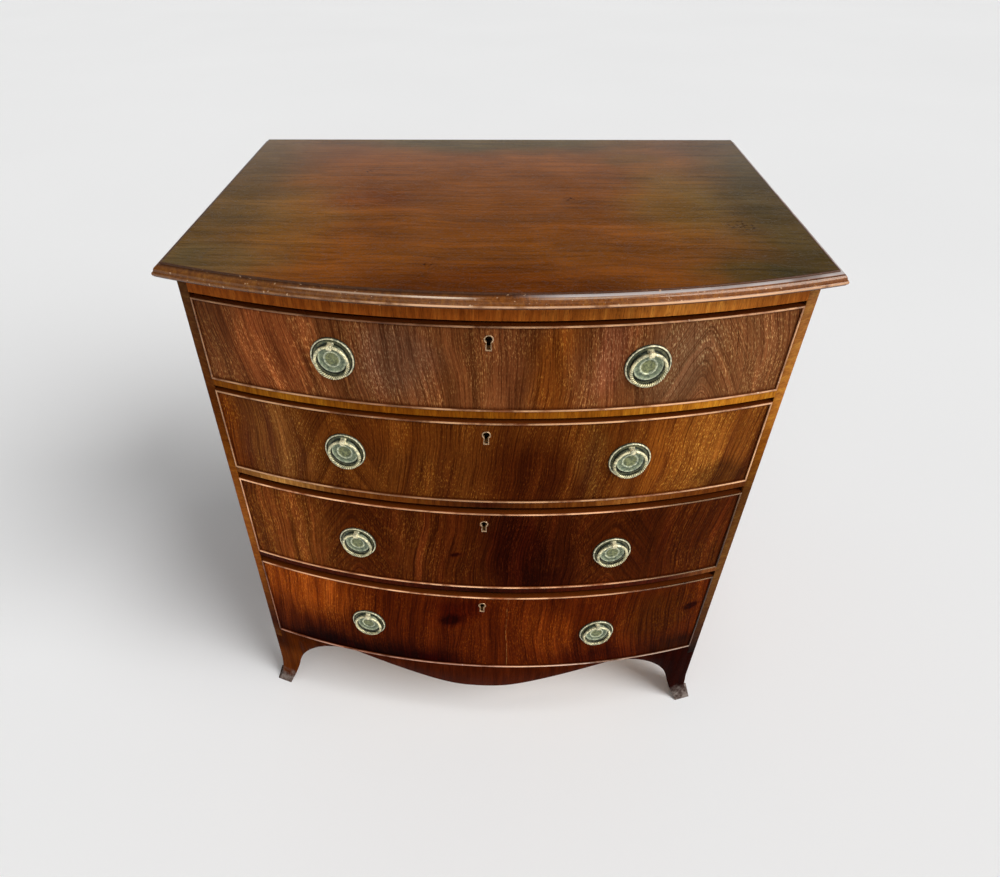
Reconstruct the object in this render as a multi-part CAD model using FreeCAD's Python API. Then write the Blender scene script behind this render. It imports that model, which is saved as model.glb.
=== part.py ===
import FreeCAD, Part
import math
import os

# Bow front chest of four graduated drawers, in millimetres.
# X is the width, Y runs from the bowed front to the back, Z is up.
# The origin is on the floor, at the middle of the width and of the whole depth.

V = FreeCAD.Vector
UP = V(0, 0, 1)
ACROSS = V(1, 0, 0)
BACKWARD = V(0, 1, 0)

# Driving dimensions of the carcase
height = 900.0
body_width = 804.0
body_depth = 520.0          # front corner to back
bow_rise = 70.0             # how far the middle of the front stands before its corners
side_thickness = 14.0
side_overhang = 20.0
front_overhang = 26.0
top_thickness = 16.0
moulding_width = 13.0
round_steps = 3             # flats on a rounded stretch of a section
frieze_height = 27.0
blade_thickness = 11.0
opening_heights = (131.0, 149.5, 177.5, 206.0)
rail_depth = 60.0           # blades and top rail at their ends
tenon_length = 6.0
tenon_setback = 8.0
housing_depth = 5.0
dustboard_thickness = 5.0
runner_height = 3.0
runner_width = 16.0
kicker_gap = 2.0            # between a kicker and the drawer sides under it
bottom_thickness = 16.0
back_thickness = 10.0
back_board_count = 3
back_rebate = 8.0
side_foot_height = 134.0    # bottom edge of the two sides

# Driving dimensions of the base
apron_thickness = 14.0
apron_half_width = 226.0
apron_neck = 5.0            # height left where the apron meets the feet
apron_drop = 63.0           # height at the middle
splay = 15.0                # how far the toes stand out
splay_height = 58.0
foot_bracket = ((14, 0), (28, 27), (40, 60), (49, 87), (77, 126), (107, 147), (176, 155))
bracket_reach = 60.0        # clear space cut beyond a bracket's last point
back_foot_top = 110.0
back_foot_toe = 40.0
foot_block = 26.0
foot_block_bottom = 62.0
apron_block = 40.0
apron_block_x = 90.0
board_clearance = 2.0       # between the bent front and what is glued behind it

# Driving dimensions of the drawers
drawer_side_gap = 1.0
drawer_bottom_gap = 1.2
running_gap = 0.3
top_gaps = (5.8, 6.7, 10.9, 12.0)   # above each drawer, widest where worn runners let it down
front_thickness = 20.0
bead_width = 2.6
bead_depth = 8.0
bead_proud = 3.0
lining_thickness = 10.0     # drawer sides
drawer_back_thickness = 9.0
drawer_back_gap = 14.0
side_drop = 3.0             # drawer sides stand this much below the top of the front
back_drop = 6.0
drawer_bottom_thickness = 6.0
drawer_bottom_rise = 8.0
groove_depth = 4.0
front_groove_depth = 5.0
dovetail_lap = 9.0
dovetail_pitch = 46.0
dovetail_flare = 2.0
dovetail_share = 0.31       # half a tail's root, as a share of the pitch
tail_root = 6.0             # tails start this far inside the drawer front's back
stop_width = 24.0
stop_length = 22.0
stop_rise = 5.0
stop_x = 249.0

# Driving dimensions of the ring pulls, locks and keyholes
pull_spacing = 398.0
pull_rises = ((3.0, 1.0), (3.5, 1.0), (-3.5, -6.5), (-2.5, -5.5))   # left and right, from each middle
plate_radius = 30.0
plate_flats = 24            # flats round the plate
ring_radius = 22.5
ring_bar = 5.0
ring_drop = 3.5             # ring centre below plate centre
ring_stand = 6.6            # ring plane before the drawer face
post_width = 7.6
post_reach = 9.6
pin_radius = 1.4
pin_clearance = 0.1
pin_grip = 0.6              # how far the pin enters each end of the ring
ring_lengths = 16           # straight lengths that make up the ring
bar_sides = 6               # flats round the ring's bar and its pin
hole_sides = 8              # flats round the pin's hole
key_drops = (19.0, 21.0, 23.0, 23.0)   # key pin below the top of each drawer
keyhole_radius = 6.2
keyhole_length = 16.0
keyhole_wall = 1.7
keyhole_neck = 0.55         # half width where head meets foot, as a share of the radius
keyhole_foot = 0.68         # half width at the bottom, as a share of the radius
keyhole_flats = 10          # flats round the keyhole's head
escutcheon_depth = 6.0
escutcheon_proud = 0.6
lock_width = 60.0
lock_height = 44.0
lock_depth = 9.0
lock_wall = 1.6
lock_plate_width = 74.0
lock_plate_depth = 11.0
lock_plate_thickness = 2.5
bolt_width = 18.0
bolt_thickness = 5.0
bolt_shoulder = 4.0
bolt_tail_width = 6.0
bolt_length = 34.0
bolt_entry = 4.0            # how far a thrown bolt enters the rail above
bolt_clearance = 0.3
mortise_depth = 5.0

# Places worked out from the driving dimensions
half_width = body_width / 2
front_corner_y = (bow_rise + front_overhang - body_depth) / 2
back_y = front_corner_y + body_depth
bow_radius = (half_width ** 2 + bow_rise ** 2) / (2 * bow_rise)
bow_centre = V(0, front_corner_y - bow_rise + bow_radius, 0)
inner_half = half_width - side_thickness
under_top = height - top_thickness
rail_back_y = front_corner_y + rail_depth
back_face_y = back_y - back_thickness
top_half = half_width + side_overhang - moulding_width
top_offset = front_overhang - moulding_width
drawer_half = inner_half - drawer_side_gap
lining_half = drawer_half - 0.5
drawer_end_y = back_face_y - drawer_back_gap
pin_above_centre = ring_radius - ring_drop


def drawer_openings():
    """Bottom and top of each drawer opening, from the top drawer down."""
    spans = []
    top = under_top - frieze_height
    for opening in opening_heights:
        spans.append((top - opening, top))
        top -= opening + blade_thickness
    return spans


openings = drawer_openings()
base_top = openings[-1][0]


# Shapes that the chest repeats

def rounded(place, centre, spread, start, end):
    """Points on an elliptical round of a section, from one angle to another in degrees."""
    points = []
    for i in range(round_steps + 1):
        angle = math.radians(start + (end - start) * i / round_steps)
        points.append(place(centre[0] + spread[0] * math.sin(angle), centre[1] + spread[1] * math.cos(angle)))
    return points


def bow_y(x, offset=0.0):
    """Y of the bowed face at x, offset outwards."""
    return bow_centre.y - math.sqrt((bow_radius + offset) ** 2 - x * x)


def box(x0, x1, y0, y1, z0, z1):
    return Part.makeBox(x1 - x0, y1 - y0, z1 - z0, V(x0, y0, z0))


def prism(points, direction):
    """Solid from a closed outline of points and the vector that carries it."""
    wire = Part.makePolygon(list(points) + [points[0]])
    return Part.Face(wire).extrude(direction)


def bow_arc(half, offset, z):
    ends = [V(x, bow_y(x, offset), z) for x in (-half, 0.0, half)]
    return Part.Arc(*ends).toShape()


def bow_board(half, offset, rear_y, z0, z1):
    """Flat board with a bowed front edge and a straight back edge."""
    y = bow_y(half, offset)
    corners = [V(half, y, z0), V(half, rear_y, z0), V(-half, rear_y, z0), V(-half, y, z0)]
    edges = [bow_arc(half, offset, z0)] + Part.makePolygon(corners).Edges
    return Part.Face(Part.Wire(Part.__sortEdges__(edges))).extrude(UP * (z1 - z0))


def bow_strip(half, offset, thickness, z0, z1):
    """Bent board of even thickness that follows the bow."""
    strip = ring_band(bow_radius + offset - thickness, bow_radius + offset, z0, z1)
    return strip.common(box(-half, half, -body_depth, 0, z0, z1))


def ring_band(inner, outer, z0, z1):
    """Sector of a tube about the bow's centre, wider than the chest."""
    section = [V(0, -inner, z0), V(0, -outer, z0), V(0, -outer, z1), V(0, -inner, z1)]
    return bow_revolve(section)


def bow_revolve(section):
    """Sweep a section, given as points at x = 0 from the bow's axis, along the bow and well past its ends."""
    reach = 2 * math.degrees(math.asin((half_width + 2 * side_overhang) / (bow_radius - body_depth)))
    face = Part.Face(Part.makePolygon(section + [section[0]]))
    face.rotate(V(), UP, -reach / 2)
    solid = face.revolve(V(), UP, reach)
    solid.translate(bow_centre)
    return solid


def mirrored(shape):
    return shape.mirror(V(), ACROSS)


def both_sides(shape):
    return [shape, mirrored(shape)]


def one_solid(shape):
    """The single solid that a boolean left, with its flat faces merged."""
    clean = shape.removeSplitter()
    return clean.Solids[0]


def save(name, shapes):
    if not isinstance(shapes, list):
        shapes = [shapes]
    solids = [solid for shape in shapes for solid in shape.Solids]
    whole = solids[0] if len(solids) == 1 else Part.makeCompound(solids)
    if not whole.isValid() or any(solid.Volume <= 0 for solid in solids):
        raise ValueError(name + " is not a sound solid")
    whole.exportStep("parts/" + name + ".step")


# Carcase

def top_board():
    return bow_board(top_half, top_offset, back_y, under_top, height)


def moulding_section(place):
    """Edge moulding's section: a fillet, a quirk, an ovolo and a rounded lip.

    place turns a step outwards from the board and a height below its top into a point.
    """
    fillet = [place(0, 0), place(2.0, 0), place(2.0, -2.2)]
    ovolo = rounded(place, (2.6, -9.6), (8.0, 7.4), 0, 90)
    lip = rounded(place, (11.0, -12.4), (2.0, 2.6), 0, 180)
    under = [place(11.0, -top_thickness), place(0, -top_thickness)]
    return fillet + ovolo + lip + under


def top_moulding():
    """Front length on the bow and two side lengths, mitred at the corners."""
    edge_radius = bow_radius + top_offset
    front = bow_revolve(moulding_section(lambda out, up: V(0, -edge_radius - out, height + up)))
    side = prism(moulding_section(lambda out, up: V(top_half + out, back_y, height + up)),
                 BACKWARD * -(body_depth + bow_rise))
    inner = V(top_half, bow_y(top_half, top_offset), 0)
    outer_x = top_half + moulding_width
    outer = V(outer_x, bow_y(outer_x, front_overhang), 0)
    along = (outer - inner).normalize() * body_width
    forward = V(along.y, -along.x, 0)
    mitre = [inner - along, inner + along, inner + along + forward, inner - along + forward]
    cutter = prism(mitre, UP * (2 * height))
    front = one_solid(front.common(cutter).common(mirrored(cutter)))
    side = one_solid(side.cut(cutter))
    return [front] + both_sides(side)


def side_blank():
    """Right-hand side, its front edge following the bow, before its housings."""
    outline = bow_board(half_width, 0, back_y, side_foot_height, under_top)
    return outline.common(box(inner_half, half_width, -body_depth, back_y, 0, height))


def rail_with_tenons(z0, z1):
    """Bowed rail with a straight back, and a stub tenon at each end set back from the face."""
    rail = bow_board(inner_half, 0, rail_back_y, z0, z1)
    reach = inner_half + tenon_length
    y = bow_y(inner_half) + tenon_setback
    return one_solid(rail.fuse(box(-reach, reach, y, rail_back_y, z0, z1)))


def bolt_mortise(z):
    """Slot in the underside of a rail that takes the bolt of the lock below it."""
    half = bolt_width / 2 + 1
    y = lock_front_y() + lock_wall
    return box(-half, half, y, y + bolt_thickness + 2, z, z + mortise_depth)


def top_rail():
    z = under_top - frieze_height
    return one_solid(rail_with_tenons(z, under_top).cut(bolt_mortise(z)))


def blades(boards):
    """Rails between the drawers, grooved at the back for the dustboards."""
    rails = []
    for (z1, _), board in zip(openings[:-1], boards):
        z0 = z1 - blade_thickness
        rails.append(one_solid(rail_with_tenons(z0, z1).cut(board).cut(bolt_mortise(z0))))
    return rails


def dustboards():
    boards = []
    for z, _ in openings[:-1]:
        top = z - runner_height
        boards.append(box(-inner_half - housing_depth, inner_half + housing_depth,
                          rail_back_y - housing_depth, back_face_y, top - dustboard_thickness, top))
    return boards


def runners():
    """Strips that carry the drawers, on each dustboard and on the bottom board."""
    strips = []
    for z, _ in openings:
        front = rail_back_y if z > base_top else bow_y(inner_half) + apron_thickness + board_clearance
        strip = box(inner_half - runner_width, inner_half, front, back_face_y, z - runner_height, z)
        strips += both_sides(strip)
    return strips


def kickers():
    """Strips above the drawers that stop them tipping, under the top and each dustboard."""
    strips = []
    ceiling = under_top
    for (low, high), gap in zip(openings, top_gaps):
        z = high - gap - side_drop + kicker_gap
        strip = box(inner_half - runner_width, inner_half, rail_back_y, back_face_y, z, ceiling)
        strips += both_sides(strip)
        ceiling = low - runner_height - dustboard_thickness
    return strips


def bottom_board():
    top = base_top - runner_height
    wide = inner_half + housing_depth
    board = bow_board(wide, -apron_thickness, back_face_y, top - bottom_thickness, top)
    return one_solid(board)


def back_boards():
    """Horizontal boards in the rebates of the sides, edge to edge."""
    wide = half_width - back_rebate
    low = base_top - runner_height - bottom_thickness
    rise = (under_top - low) / back_board_count
    return [box(-wide, wide, back_face_y, back_y, low + i * rise, low + (i + 1) * rise)
            for i in range(back_board_count)]


# Base

def apron_edge():
    """Shaped lower edge of the apron, as a curve in the plane y = 0."""
    neck = base_top - apron_neck
    low = base_top - apron_drop
    shape = ((-1.0, 0.0), (-0.77, 0.28), (-0.46, 0.68), (-0.15, 0.98), (0.0, 1.0),
             (0.15, 0.98), (0.46, 0.68), (0.77, 0.28), (1.0, 0.0))
    points = [V(x * apron_half_width, 0, neck + (low - neck) * drop) for x, drop in shape]
    curve = Part.BSplineCurve()
    curve.interpolate(points)
    return curve.toShape()


def front_apron():
    strip = bow_strip(apron_half_width, 0, apron_thickness, base_top - apron_drop, base_top)
    ends = [V(apron_half_width, 0, base_top - apron_neck), V(apron_half_width, 0, 0),
            V(-apron_half_width, 0, 0), V(-apron_half_width, 0, base_top - apron_neck)]
    below = Part.Face(Part.Wire([apron_edge()] + Part.makePolygon(ends).Edges))
    waste = below.extrude(BACKWARD * -body_depth)
    return one_solid(strip.cut(waste))


def splay_points(place):
    """Concave sweep from the plumb face down to the toe, in flats."""
    return rounded(place, (splay, splay_height), (-splay, -splay_height), 90, 0)


def side_envelope():
    """Everything inside the right-hand side's outer face and its splay."""
    def place(out, z):
        return V(half_width + out, -body_depth, z)
    rest = [place(-half_width, 0), place(-half_width, base_top), place(0, base_top)]
    return prism(splay_points(place) + rest, BACKWARD * (2 * body_depth))


def bow_envelope():
    """Everything inside the bowed front face and its splay."""
    def place(out, z):
        return V(0, -bow_radius - out, z)
    rest = [place(-body_depth, 0), place(-body_depth, base_top), place(0, base_top)]
    return bow_revolve(splay_points(place) + rest)


def bracket_waste(top, place):
    """Space under a foot's bracket curve, in a plane given by place(distance from corner, z)."""
    scale = top / foot_bracket[-1][1]
    points = [place(out, z * scale) for out, z in foot_bracket]
    curve = Part.BSplineCurve()
    curve.interpolate(points)
    far = foot_bracket[-1][0] + bracket_reach
    close = [points[-1], place(far, points[-1].z), place(far, 0), points[0]]
    return Part.Face(Part.Wire([curve.toShape()] + Part.makePolygon(close).Edges))


def side_wing(front):
    """Side bracket of a foot, of even thickness inside its splayed outer face."""
    reach = foot_bracket[-1][0]
    y0 = front_corner_y - bow_rise if front else back_y - reach
    y1 = front_corner_y + reach if front else back_y
    wing = side_envelope().common(box(inner_half, half_width + splay, y0, y1, 0, side_foot_height))

    def place(out, z):
        y = front_corner_y + out if front else back_y - out
        return V(inner_half - 1, y, z)
    waste = bracket_waste(side_foot_height, place).extrude(ACROSS * (side_thickness + splay + 2))
    return wing.cut(waste)


def front_foot(side):
    """Right-hand front foot: a bowed front bracket and a side bracket that meet at a splayed corner."""
    reach = half_width - apron_half_width
    inside = ring_band(bow_radius - body_depth, bow_radius - apron_thickness, 0, base_top)
    front = bow_envelope().common(side_envelope())
    front = front.common(box(half_width - reach, half_width + splay, -body_depth, 0, 0, base_top)).cut(inside)

    def place(out, z):
        return V(half_width - out, -body_depth, z)
    waste = bracket_waste(base_top - apron_neck, place).extrude(BACKWARD * body_depth)
    front = front.cut(waste)
    wing = side_wing(True).common(bow_envelope())
    return one_solid(front.fuse(wing).cut(side))


def back_foot():
    """Right-hand back foot: a splayed side bracket and a plain sawn board across the back."""
    board = box(half_width - back_foot_top, inner_half, back_y - side_thickness, back_y, 0, side_foot_height)
    cut = prism([V(half_width - back_foot_top, 0, side_foot_height), V(half_width - back_foot_top, 0, 0),
                 V(half_width - back_foot_toe, 0, 0)], BACKWARD * (2 * body_depth))
    return one_solid(side_wing(False).fuse(board.cut(cut)))


def foot_blocks():
    """Corner blocks glued inside the feet and up against the bottom board."""
    top = base_top - runner_height - bottom_thickness
    x = inner_half - foot_block
    front_y = bow_y(inner_half) + apron_thickness + board_clearance
    blocks = [box(x, inner_half, front_y, front_y + foot_block, foot_block_bottom, top)]
    rear_y = back_y - side_thickness
    blocks.append(box(x, inner_half, rear_y - foot_block, rear_y, foot_block_bottom, top))
    return blocks


def drawer_stops():
    """Small blocks on the rails that meet the back of each drawer front."""
    stops = []
    x0 = stop_x - stop_width / 2
    y0 = bow_y(x0 + stop_width) + front_thickness + board_clearance
    for z, _ in openings:
        base = z if z > base_top else z - runner_height
        stops.append(box(x0, x0 + stop_width, y0, y0 + stop_length, base, z + stop_rise))
    return stops


def apron_blocks():
    """Short blocks that tie the apron to the underside of the bottom board."""
    top = base_top - runner_height - bottom_thickness
    y = bow_y(apron_block_x, -apron_thickness) + 0.1
    half = apron_block / 2
    return both_sides(box(apron_block_x - apron_block, apron_block_x, y, y + half, top - half, top))


# Drawers

def bead_profile(place):
    """Section of a cockbead, a thin slip on edge that stands proud of the drawer front."""
    front = bead_depth + bead_proud
    return [place(0, 0), place(front, 0), place(front, bead_width), place(0, bead_width)]


def level_bead(z):
    """Full length of bead along the bow, its lower edge at z."""
    start = bow_radius - bead_depth
    return bow_revolve(bead_profile(lambda out, up: V(0, -start - out, z + up)))


def upright_bead(z0, z1):
    """Right-hand upright bead."""
    start = bow_y(drawer_half) + bead_depth
    profile = bead_profile(lambda out, up: V(drawer_half - up, start - out, z0))
    return prism(profile, UP * (z1 - z0))


def cockbeads(z0, z1):
    """Four beads mitred round the edge of a drawer front."""
    w, b = drawer_half, bead_width
    deep = BACKWARD * -body_depth
    top_outline = [V(-w, 0, z1), V(w, 0, z1), V(w - b, 0, z1 - b), V(-w + b, 0, z1 - b)]
    low_outline = [V(-w, 0, z0), V(w, 0, z0), V(w - b, 0, z0 + b), V(-w + b, 0, z0 + b)]
    end_outline = [V(w, 0, z0), V(w, 0, z1), V(w - b, 0, z1 - b), V(w - b, 0, z0 + b)]
    top = level_bead(z1 - b).common(prism(top_outline, deep))
    low = level_bead(z0).common(prism(low_outline, deep))
    end = upright_bead(z0, z1).common(prism(end_outline, deep))
    return [one_solid(top), one_solid(low)] + both_sides(one_solid(end))


def tail_centres(z0, z1):
    count = max(2, round((z1 - z0) / dovetail_pitch))
    step = (z1 - z0) / count
    return [z0 + step * (i + 0.5) for i in range(count)], step * dovetail_share


def dovetails(z0, z1, root_y, end_y):
    """Tails of the right-hand drawer side, growing wider from root_y to end_y."""
    centres, half = tail_centres(z0, z1)
    x = lining_half - lining_thickness
    tails = []
    for z in centres:
        outline = [V(x, root_y, z - half), V(x, end_y, z - half - dovetail_flare),
                   V(x, end_y, z + half + dovetail_flare), V(x, root_y, z + half)]
        tails.append(prism(outline, ACROSS * lining_thickness))
    return tails


def drawer_bottom(z):
    z0 = z + drawer_bottom_rise
    wide = lining_half - lining_thickness + groove_depth
    offset = front_groove_depth - front_thickness
    return bow_board(wide, offset, drawer_end_y, z0, z0 + drawer_bottom_thickness)


def drawer_side(z0, z1, bottom):
    """Right-hand drawer side with lapped dovetails at the front and through dovetails at the back."""
    inner_x = lining_half - lining_thickness
    pins_y = drawer_end_y - drawer_back_thickness
    board = box(inner_x, lining_half, -body_depth, pins_y, z0, z1)
    inside = ring_band(bow_radius - 2 * body_depth, bow_radius - front_thickness, z0, z1)
    board = board.common(inside)
    root_y = bow_y(inner_x, -front_thickness) + tail_root
    front_tails = dovetails(z0, z1, root_y, bow_y(lining_half) + dovetail_lap)
    rear_tails = dovetails(z0, z1, pins_y - 1, drawer_end_y)
    board = board.multiFuse(front_tails + rear_tails)
    return one_solid(board.cut(bottom)), front_tails, rear_tails


def drawer_back(z0, z1, rear_tails):
    board = box(-lining_half, lining_half, drawer_end_y - drawer_back_thickness, drawer_end_y, z0, z1)
    for tail in rear_tails:
        board = board.cut(tail).cut(mirrored(tail))
    return one_solid(board)


def keyhole_outline(z, radius, foot_half, y):
    """Round head in flats and a tapering foot below it, as points at y."""
    neck = math.pi - math.asin(keyhole_neck)
    foot_z = z - keyhole_length + (keyhole_radius - radius)
    outline = [V(foot_half, y, foot_z), V(-foot_half, y, foot_z)]
    for i in range(keyhole_flats + 1):
        turn = neck * (2 * i / keyhole_flats - 1)
        outline.append(V(radius * math.sin(turn), y, z + radius * math.cos(turn)))
    return outline


def keyhole(z, wall, y0, y1):
    outline = keyhole_outline(z, keyhole_radius - wall, keyhole_radius * keyhole_foot - wall, y0)
    return prism(outline, BACKWARD * (y1 - y0))


def escutcheon(z):
    """Keyhole liner let into the drawer front."""
    y0 = bow_y(0) - escutcheon_proud
    y1 = bow_y(0) + escutcheon_depth
    return one_solid(keyhole(z, 0, y0, y1).cut(keyhole(z, keyhole_wall, y0, y1)))


def lock_front_y():
    """Front plane of the lock case, sunk into the back of the drawer front."""
    return bow_y(0) + front_thickness - lock_depth


def bolt(z, throw, slack=0.0, lift=0.0):
    """Lock bolt, flush with the top of the drawer: head, shoulder and tail.

    slack widens it and lift raises its upper ends, to make the channel that it runs in.
    """
    half = bolt_width / 2 + slack
    tail = bolt_width / 2 + bolt_tail_width + slack
    y0 = lock_front_y() + lock_wall + bolt_clearance - slack
    y1 = y0 + bolt_thickness + 2 * slack
    top = z - lock_plate_thickness - 2 * bolt_clearance - throw
    low = top - bolt_shoulder - slack
    top += slack + lift
    head = box(-half, half, y0, y1, low, z + lift)
    shoulder = box(-half, tail, y0, y1, low, top)
    arm = box(bolt_width / 2 - slack, tail, y0, y1, z - bolt_length - slack, top)
    return head.fuse(shoulder).fuse(arm)


def lock_blank(z):
    """Outer form of a lock: the case and the plate that is let into the top edge."""
    y1 = bow_y(0) + front_thickness
    case = box(-lock_width / 2, lock_width / 2, lock_front_y(), y1, z - lock_height, z)
    plate = box(-lock_plate_width / 2, lock_plate_width / 2, y1 - lock_plate_depth, y1,
                z - lock_plate_thickness, z)
    return case.fuse(plate)


def key_passage(key_z, y0, y1):
    """Plain slot that the key passes through, behind the keyhole."""
    half = keyhole_radius - keyhole_wall
    return box(-half, half, y0, y1, key_z - keyhole_length + keyhole_wall, key_z + half)


def lock_case(z, throw, key_z):
    """Lock case with the bolt's channel and the space that the key turns in."""
    front = lock_front_y()
    channel = bolt(z, throw, bolt_clearance, throw)
    key_space = key_passage(key_z, front, front + lock_depth - lock_wall)
    return one_solid(lock_blank(z).cut(channel).cut(key_space))


def lock_bolt(z, throw, key_z):
    """Bolt with the notch below its head that the key turns in."""
    front = lock_front_y()
    return one_solid(bolt(z, throw).cut(key_passage(key_z, front, front + lock_depth)))


def drawer_front(z0, z1, key_z, beads, bottom, tails):
    """Bowed front with rebates for the beads and sockets for all that is let into it."""
    front = bow_strip(drawer_half, 0, front_thickness, z0, z1)
    seat_y = bow_y(0) + escutcheon_depth
    tools = beads + [bottom, lock_blank(z1)] + tails + [mirrored(tail) for tail in tails]
    tools.append(keyhole(key_z, 0, bow_y(0) - escutcheon_proud, seat_y))
    tools.append(key_passage(key_z, seat_y, lock_front_y()))
    for tool in tools:
        front = front.cut(tool)
    return one_solid(front)


# Ring pulls, made on the plane y = 0 round the origin and then set on the bow

def set_on_bow(shape, x, z):
    angle = math.degrees(math.asin(x / bow_radius))
    placed = shape.copy()
    placed.rotate(V(), UP, angle)
    placed.translate(V(x, bow_y(x), z))
    return placed


def loop_face(points):
    return Part.Face(Part.makePolygon(points + [points[0]]))


def faceted(sections):
    """Solid through closed outlines of equally many points, with flat ends."""
    faces = [loop_face(sections[0]), loop_face(sections[-1])]
    for a, b in zip(sections, sections[1:]):
        faces += [loop_face([a[i - 1], a[i], b[i], b[i - 1]]) for i in range(len(a))]
    return Part.Solid(Part.Shell(faces))


def pin_rod(half, radius, sides):
    """Flat-sided rod across the post, on the ring's axis of swing."""
    outline = []
    for i in range(sides):
        angle = 2 * math.pi * (i + 0.5) / sides
        y = radius * math.cos(angle) - ring_stand
        outline.append(V(-half, y, radius * math.sin(angle) + pin_above_centre))
    return prism(outline, ACROSS * (2 * half))


def plate_outline(radius, stand):
    """Outline of the plate in flats, at a height before the face."""
    turns = [2 * math.pi * i / plate_flats for i in range(plate_flats)]
    return [V(radius * math.sin(turn), -stand, radius * math.cos(turn)) for turn in turns]


def pull_plate():
    """Round plate with a ridged rim, a sunk channel, a raised boss and the post for the ring."""
    profile = ((plate_radius, 0), (28.4, 3.0), (26.3, 1.4), (19.8, 1.4), (18.4, 3.7))
    plate = faceted([plate_outline(radius, stand) for radius, stand in profile])
    half = post_width / 2
    post = box(-half, half, -post_reach, 0, pin_above_centre - half, pin_above_centre + half)
    hole_radius = (pin_radius + pin_clearance) / math.cos(math.pi / hole_sides)
    return one_solid(plate.fuse(post).cut(pin_rod(half, hole_radius, hole_sides)))


def bar_section(turn):
    """Outline of the ring's bar at an angle from the top of the ring."""
    bar = ring_bar / 2
    outline = []
    for i in range(bar_sides):
        angle = 2 * math.pi * (i + 0.5) / bar_sides
        radius = ring_radius + bar * math.cos(angle)
        outline.append(V(radius * math.sin(turn), bar * math.sin(angle) - ring_stand,
                         radius * math.cos(turn) - ring_drop))
    return outline


def pull_ring():
    """Ring handle in short straight lengths, open where the post stands, and the pin through the post."""
    half = post_width / 2 + running_gap
    first = math.asin(half / (ring_radius - ring_bar / 2))
    step = 2 * (math.pi - first) / ring_lengths
    ring = faceted([bar_section(first + step * i) for i in range(ring_lengths + 1)])
    return one_solid(ring.fuse(pin_rod(half + pin_grip, pin_radius, bar_sides)))


def drawer_pieces(i):
    """All the pieces of drawer i, counted from 0 at the top, as node name and shapes."""
    low, high = openings[i]
    z0 = low + drawer_bottom_gap
    z1 = high - top_gaps[i]
    key_z = z1 - key_drops[i]
    throw = top_gaps[i] + bolt_entry
    middle = (z0 + z1) / 2
    left = (-pull_spacing / 2, middle + pull_rises[i][0])
    right = (pull_spacing / 2, middle + pull_rises[i][1])
    beads = cockbeads(z0, z1)
    bottom = drawer_bottom(low)
    side, front_tails, rear_tails = drawer_side(low + running_gap, z1 - side_drop, bottom)
    back_low = low + drawer_bottom_rise + drawer_bottom_thickness
    plates = [set_on_bow(pull_plate(), *place) for place in (left, right)]
    pieces = {
        "front": drawer_front(z0, z1, key_z, beads, bottom, front_tails),
        "sides": both_sides(side),
        "back": drawer_back(back_low, z1 - side_drop - back_drop, rear_tails),
        "bottom": bottom,
        "cockbeads": beads,
        "plates_and_keyhole": plates + [escutcheon(key_z)],
        "ring_left": set_on_bow(pull_ring(), *left),
        "ring_right": set_on_bow(pull_ring(), *right),
        "lock_case": lock_case(z1, throw, key_z),
        "lock_bolt": lock_bolt(z1, throw, key_z),
    }
    return {"drawer_%d_%s" % (i + 1, name): shape for name, shape in pieces.items()}


def carcase_pieces():
    boards = dustboards()
    rails = blades(boards)
    rail = top_rail()
    bottom = bottom_board()
    backs = back_boards()
    side = side_blank()
    for tool in boards + rails + backs + [rail, bottom]:
        side = side.cut(tool)
    side = one_solid(side)
    foot = front_foot(side)
    rear_foot = back_foot()
    blocks = foot_blocks() + drawer_stops()
    return {
        "top_board": top_board(),
        "top_moulding": top_moulding(),
        "side_right": side,
        "side_left": mirrored(side),
        "back_boards": backs,
        "top_rail": rail,
        "drawer_blades": rails,
        "dustboards": boards,
        "runners_and_kickers": runners() + kickers(),
        "bottom_board": bottom,
        "front_apron": front_apron(),
        "foot_front_right": foot,
        "foot_front_left": mirrored(foot),
        "foot_back_right": rear_foot,
        "foot_back_left": mirrored(rear_foot),
        "blocks_and_stops": blocks + [mirrored(block) for block in blocks] + apron_blocks(),
    }


def main():
    os.makedirs("parts", exist_ok=True)
    for name, shape in carcase_pieces().items():
        save(name, shape)
    for i in range(len(openings)):
        for name, shape in drawer_pieces(i).items():
            save(name, shape)


main()
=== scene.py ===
import math

import bmesh
import bpy
from mathutils import Matrix, Vector


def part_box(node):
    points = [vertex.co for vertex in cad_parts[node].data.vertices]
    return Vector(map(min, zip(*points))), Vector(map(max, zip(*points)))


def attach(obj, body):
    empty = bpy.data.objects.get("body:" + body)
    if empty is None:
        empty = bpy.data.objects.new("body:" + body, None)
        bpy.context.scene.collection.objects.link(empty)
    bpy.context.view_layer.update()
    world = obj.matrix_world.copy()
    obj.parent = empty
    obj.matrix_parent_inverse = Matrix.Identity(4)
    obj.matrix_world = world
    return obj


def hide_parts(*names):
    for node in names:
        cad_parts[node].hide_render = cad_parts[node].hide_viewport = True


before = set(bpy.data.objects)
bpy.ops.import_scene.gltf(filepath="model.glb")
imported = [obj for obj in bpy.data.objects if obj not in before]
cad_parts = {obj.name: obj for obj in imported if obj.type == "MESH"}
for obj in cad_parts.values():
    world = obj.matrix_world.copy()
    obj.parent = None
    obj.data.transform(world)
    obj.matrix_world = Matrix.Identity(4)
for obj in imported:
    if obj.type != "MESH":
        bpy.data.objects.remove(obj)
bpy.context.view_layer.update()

# The chest's driving sizes, in metres. The front follows a bow about an upright axis.
HALF_WIDTH = 0.402
FRONT_CORNER_Y = -0.212
BOW_RISE = 0.070
BOW_RADIUS = (HALF_WIDTH ** 2 + BOW_RISE ** 2) / (2 * BOW_RISE)
BOW_AXIS_Y = FRONT_CORNER_Y - BOW_RISE + BOW_RADIUS
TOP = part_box("top_board")[1].z
BACK_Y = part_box("top_board")[1].y
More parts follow.
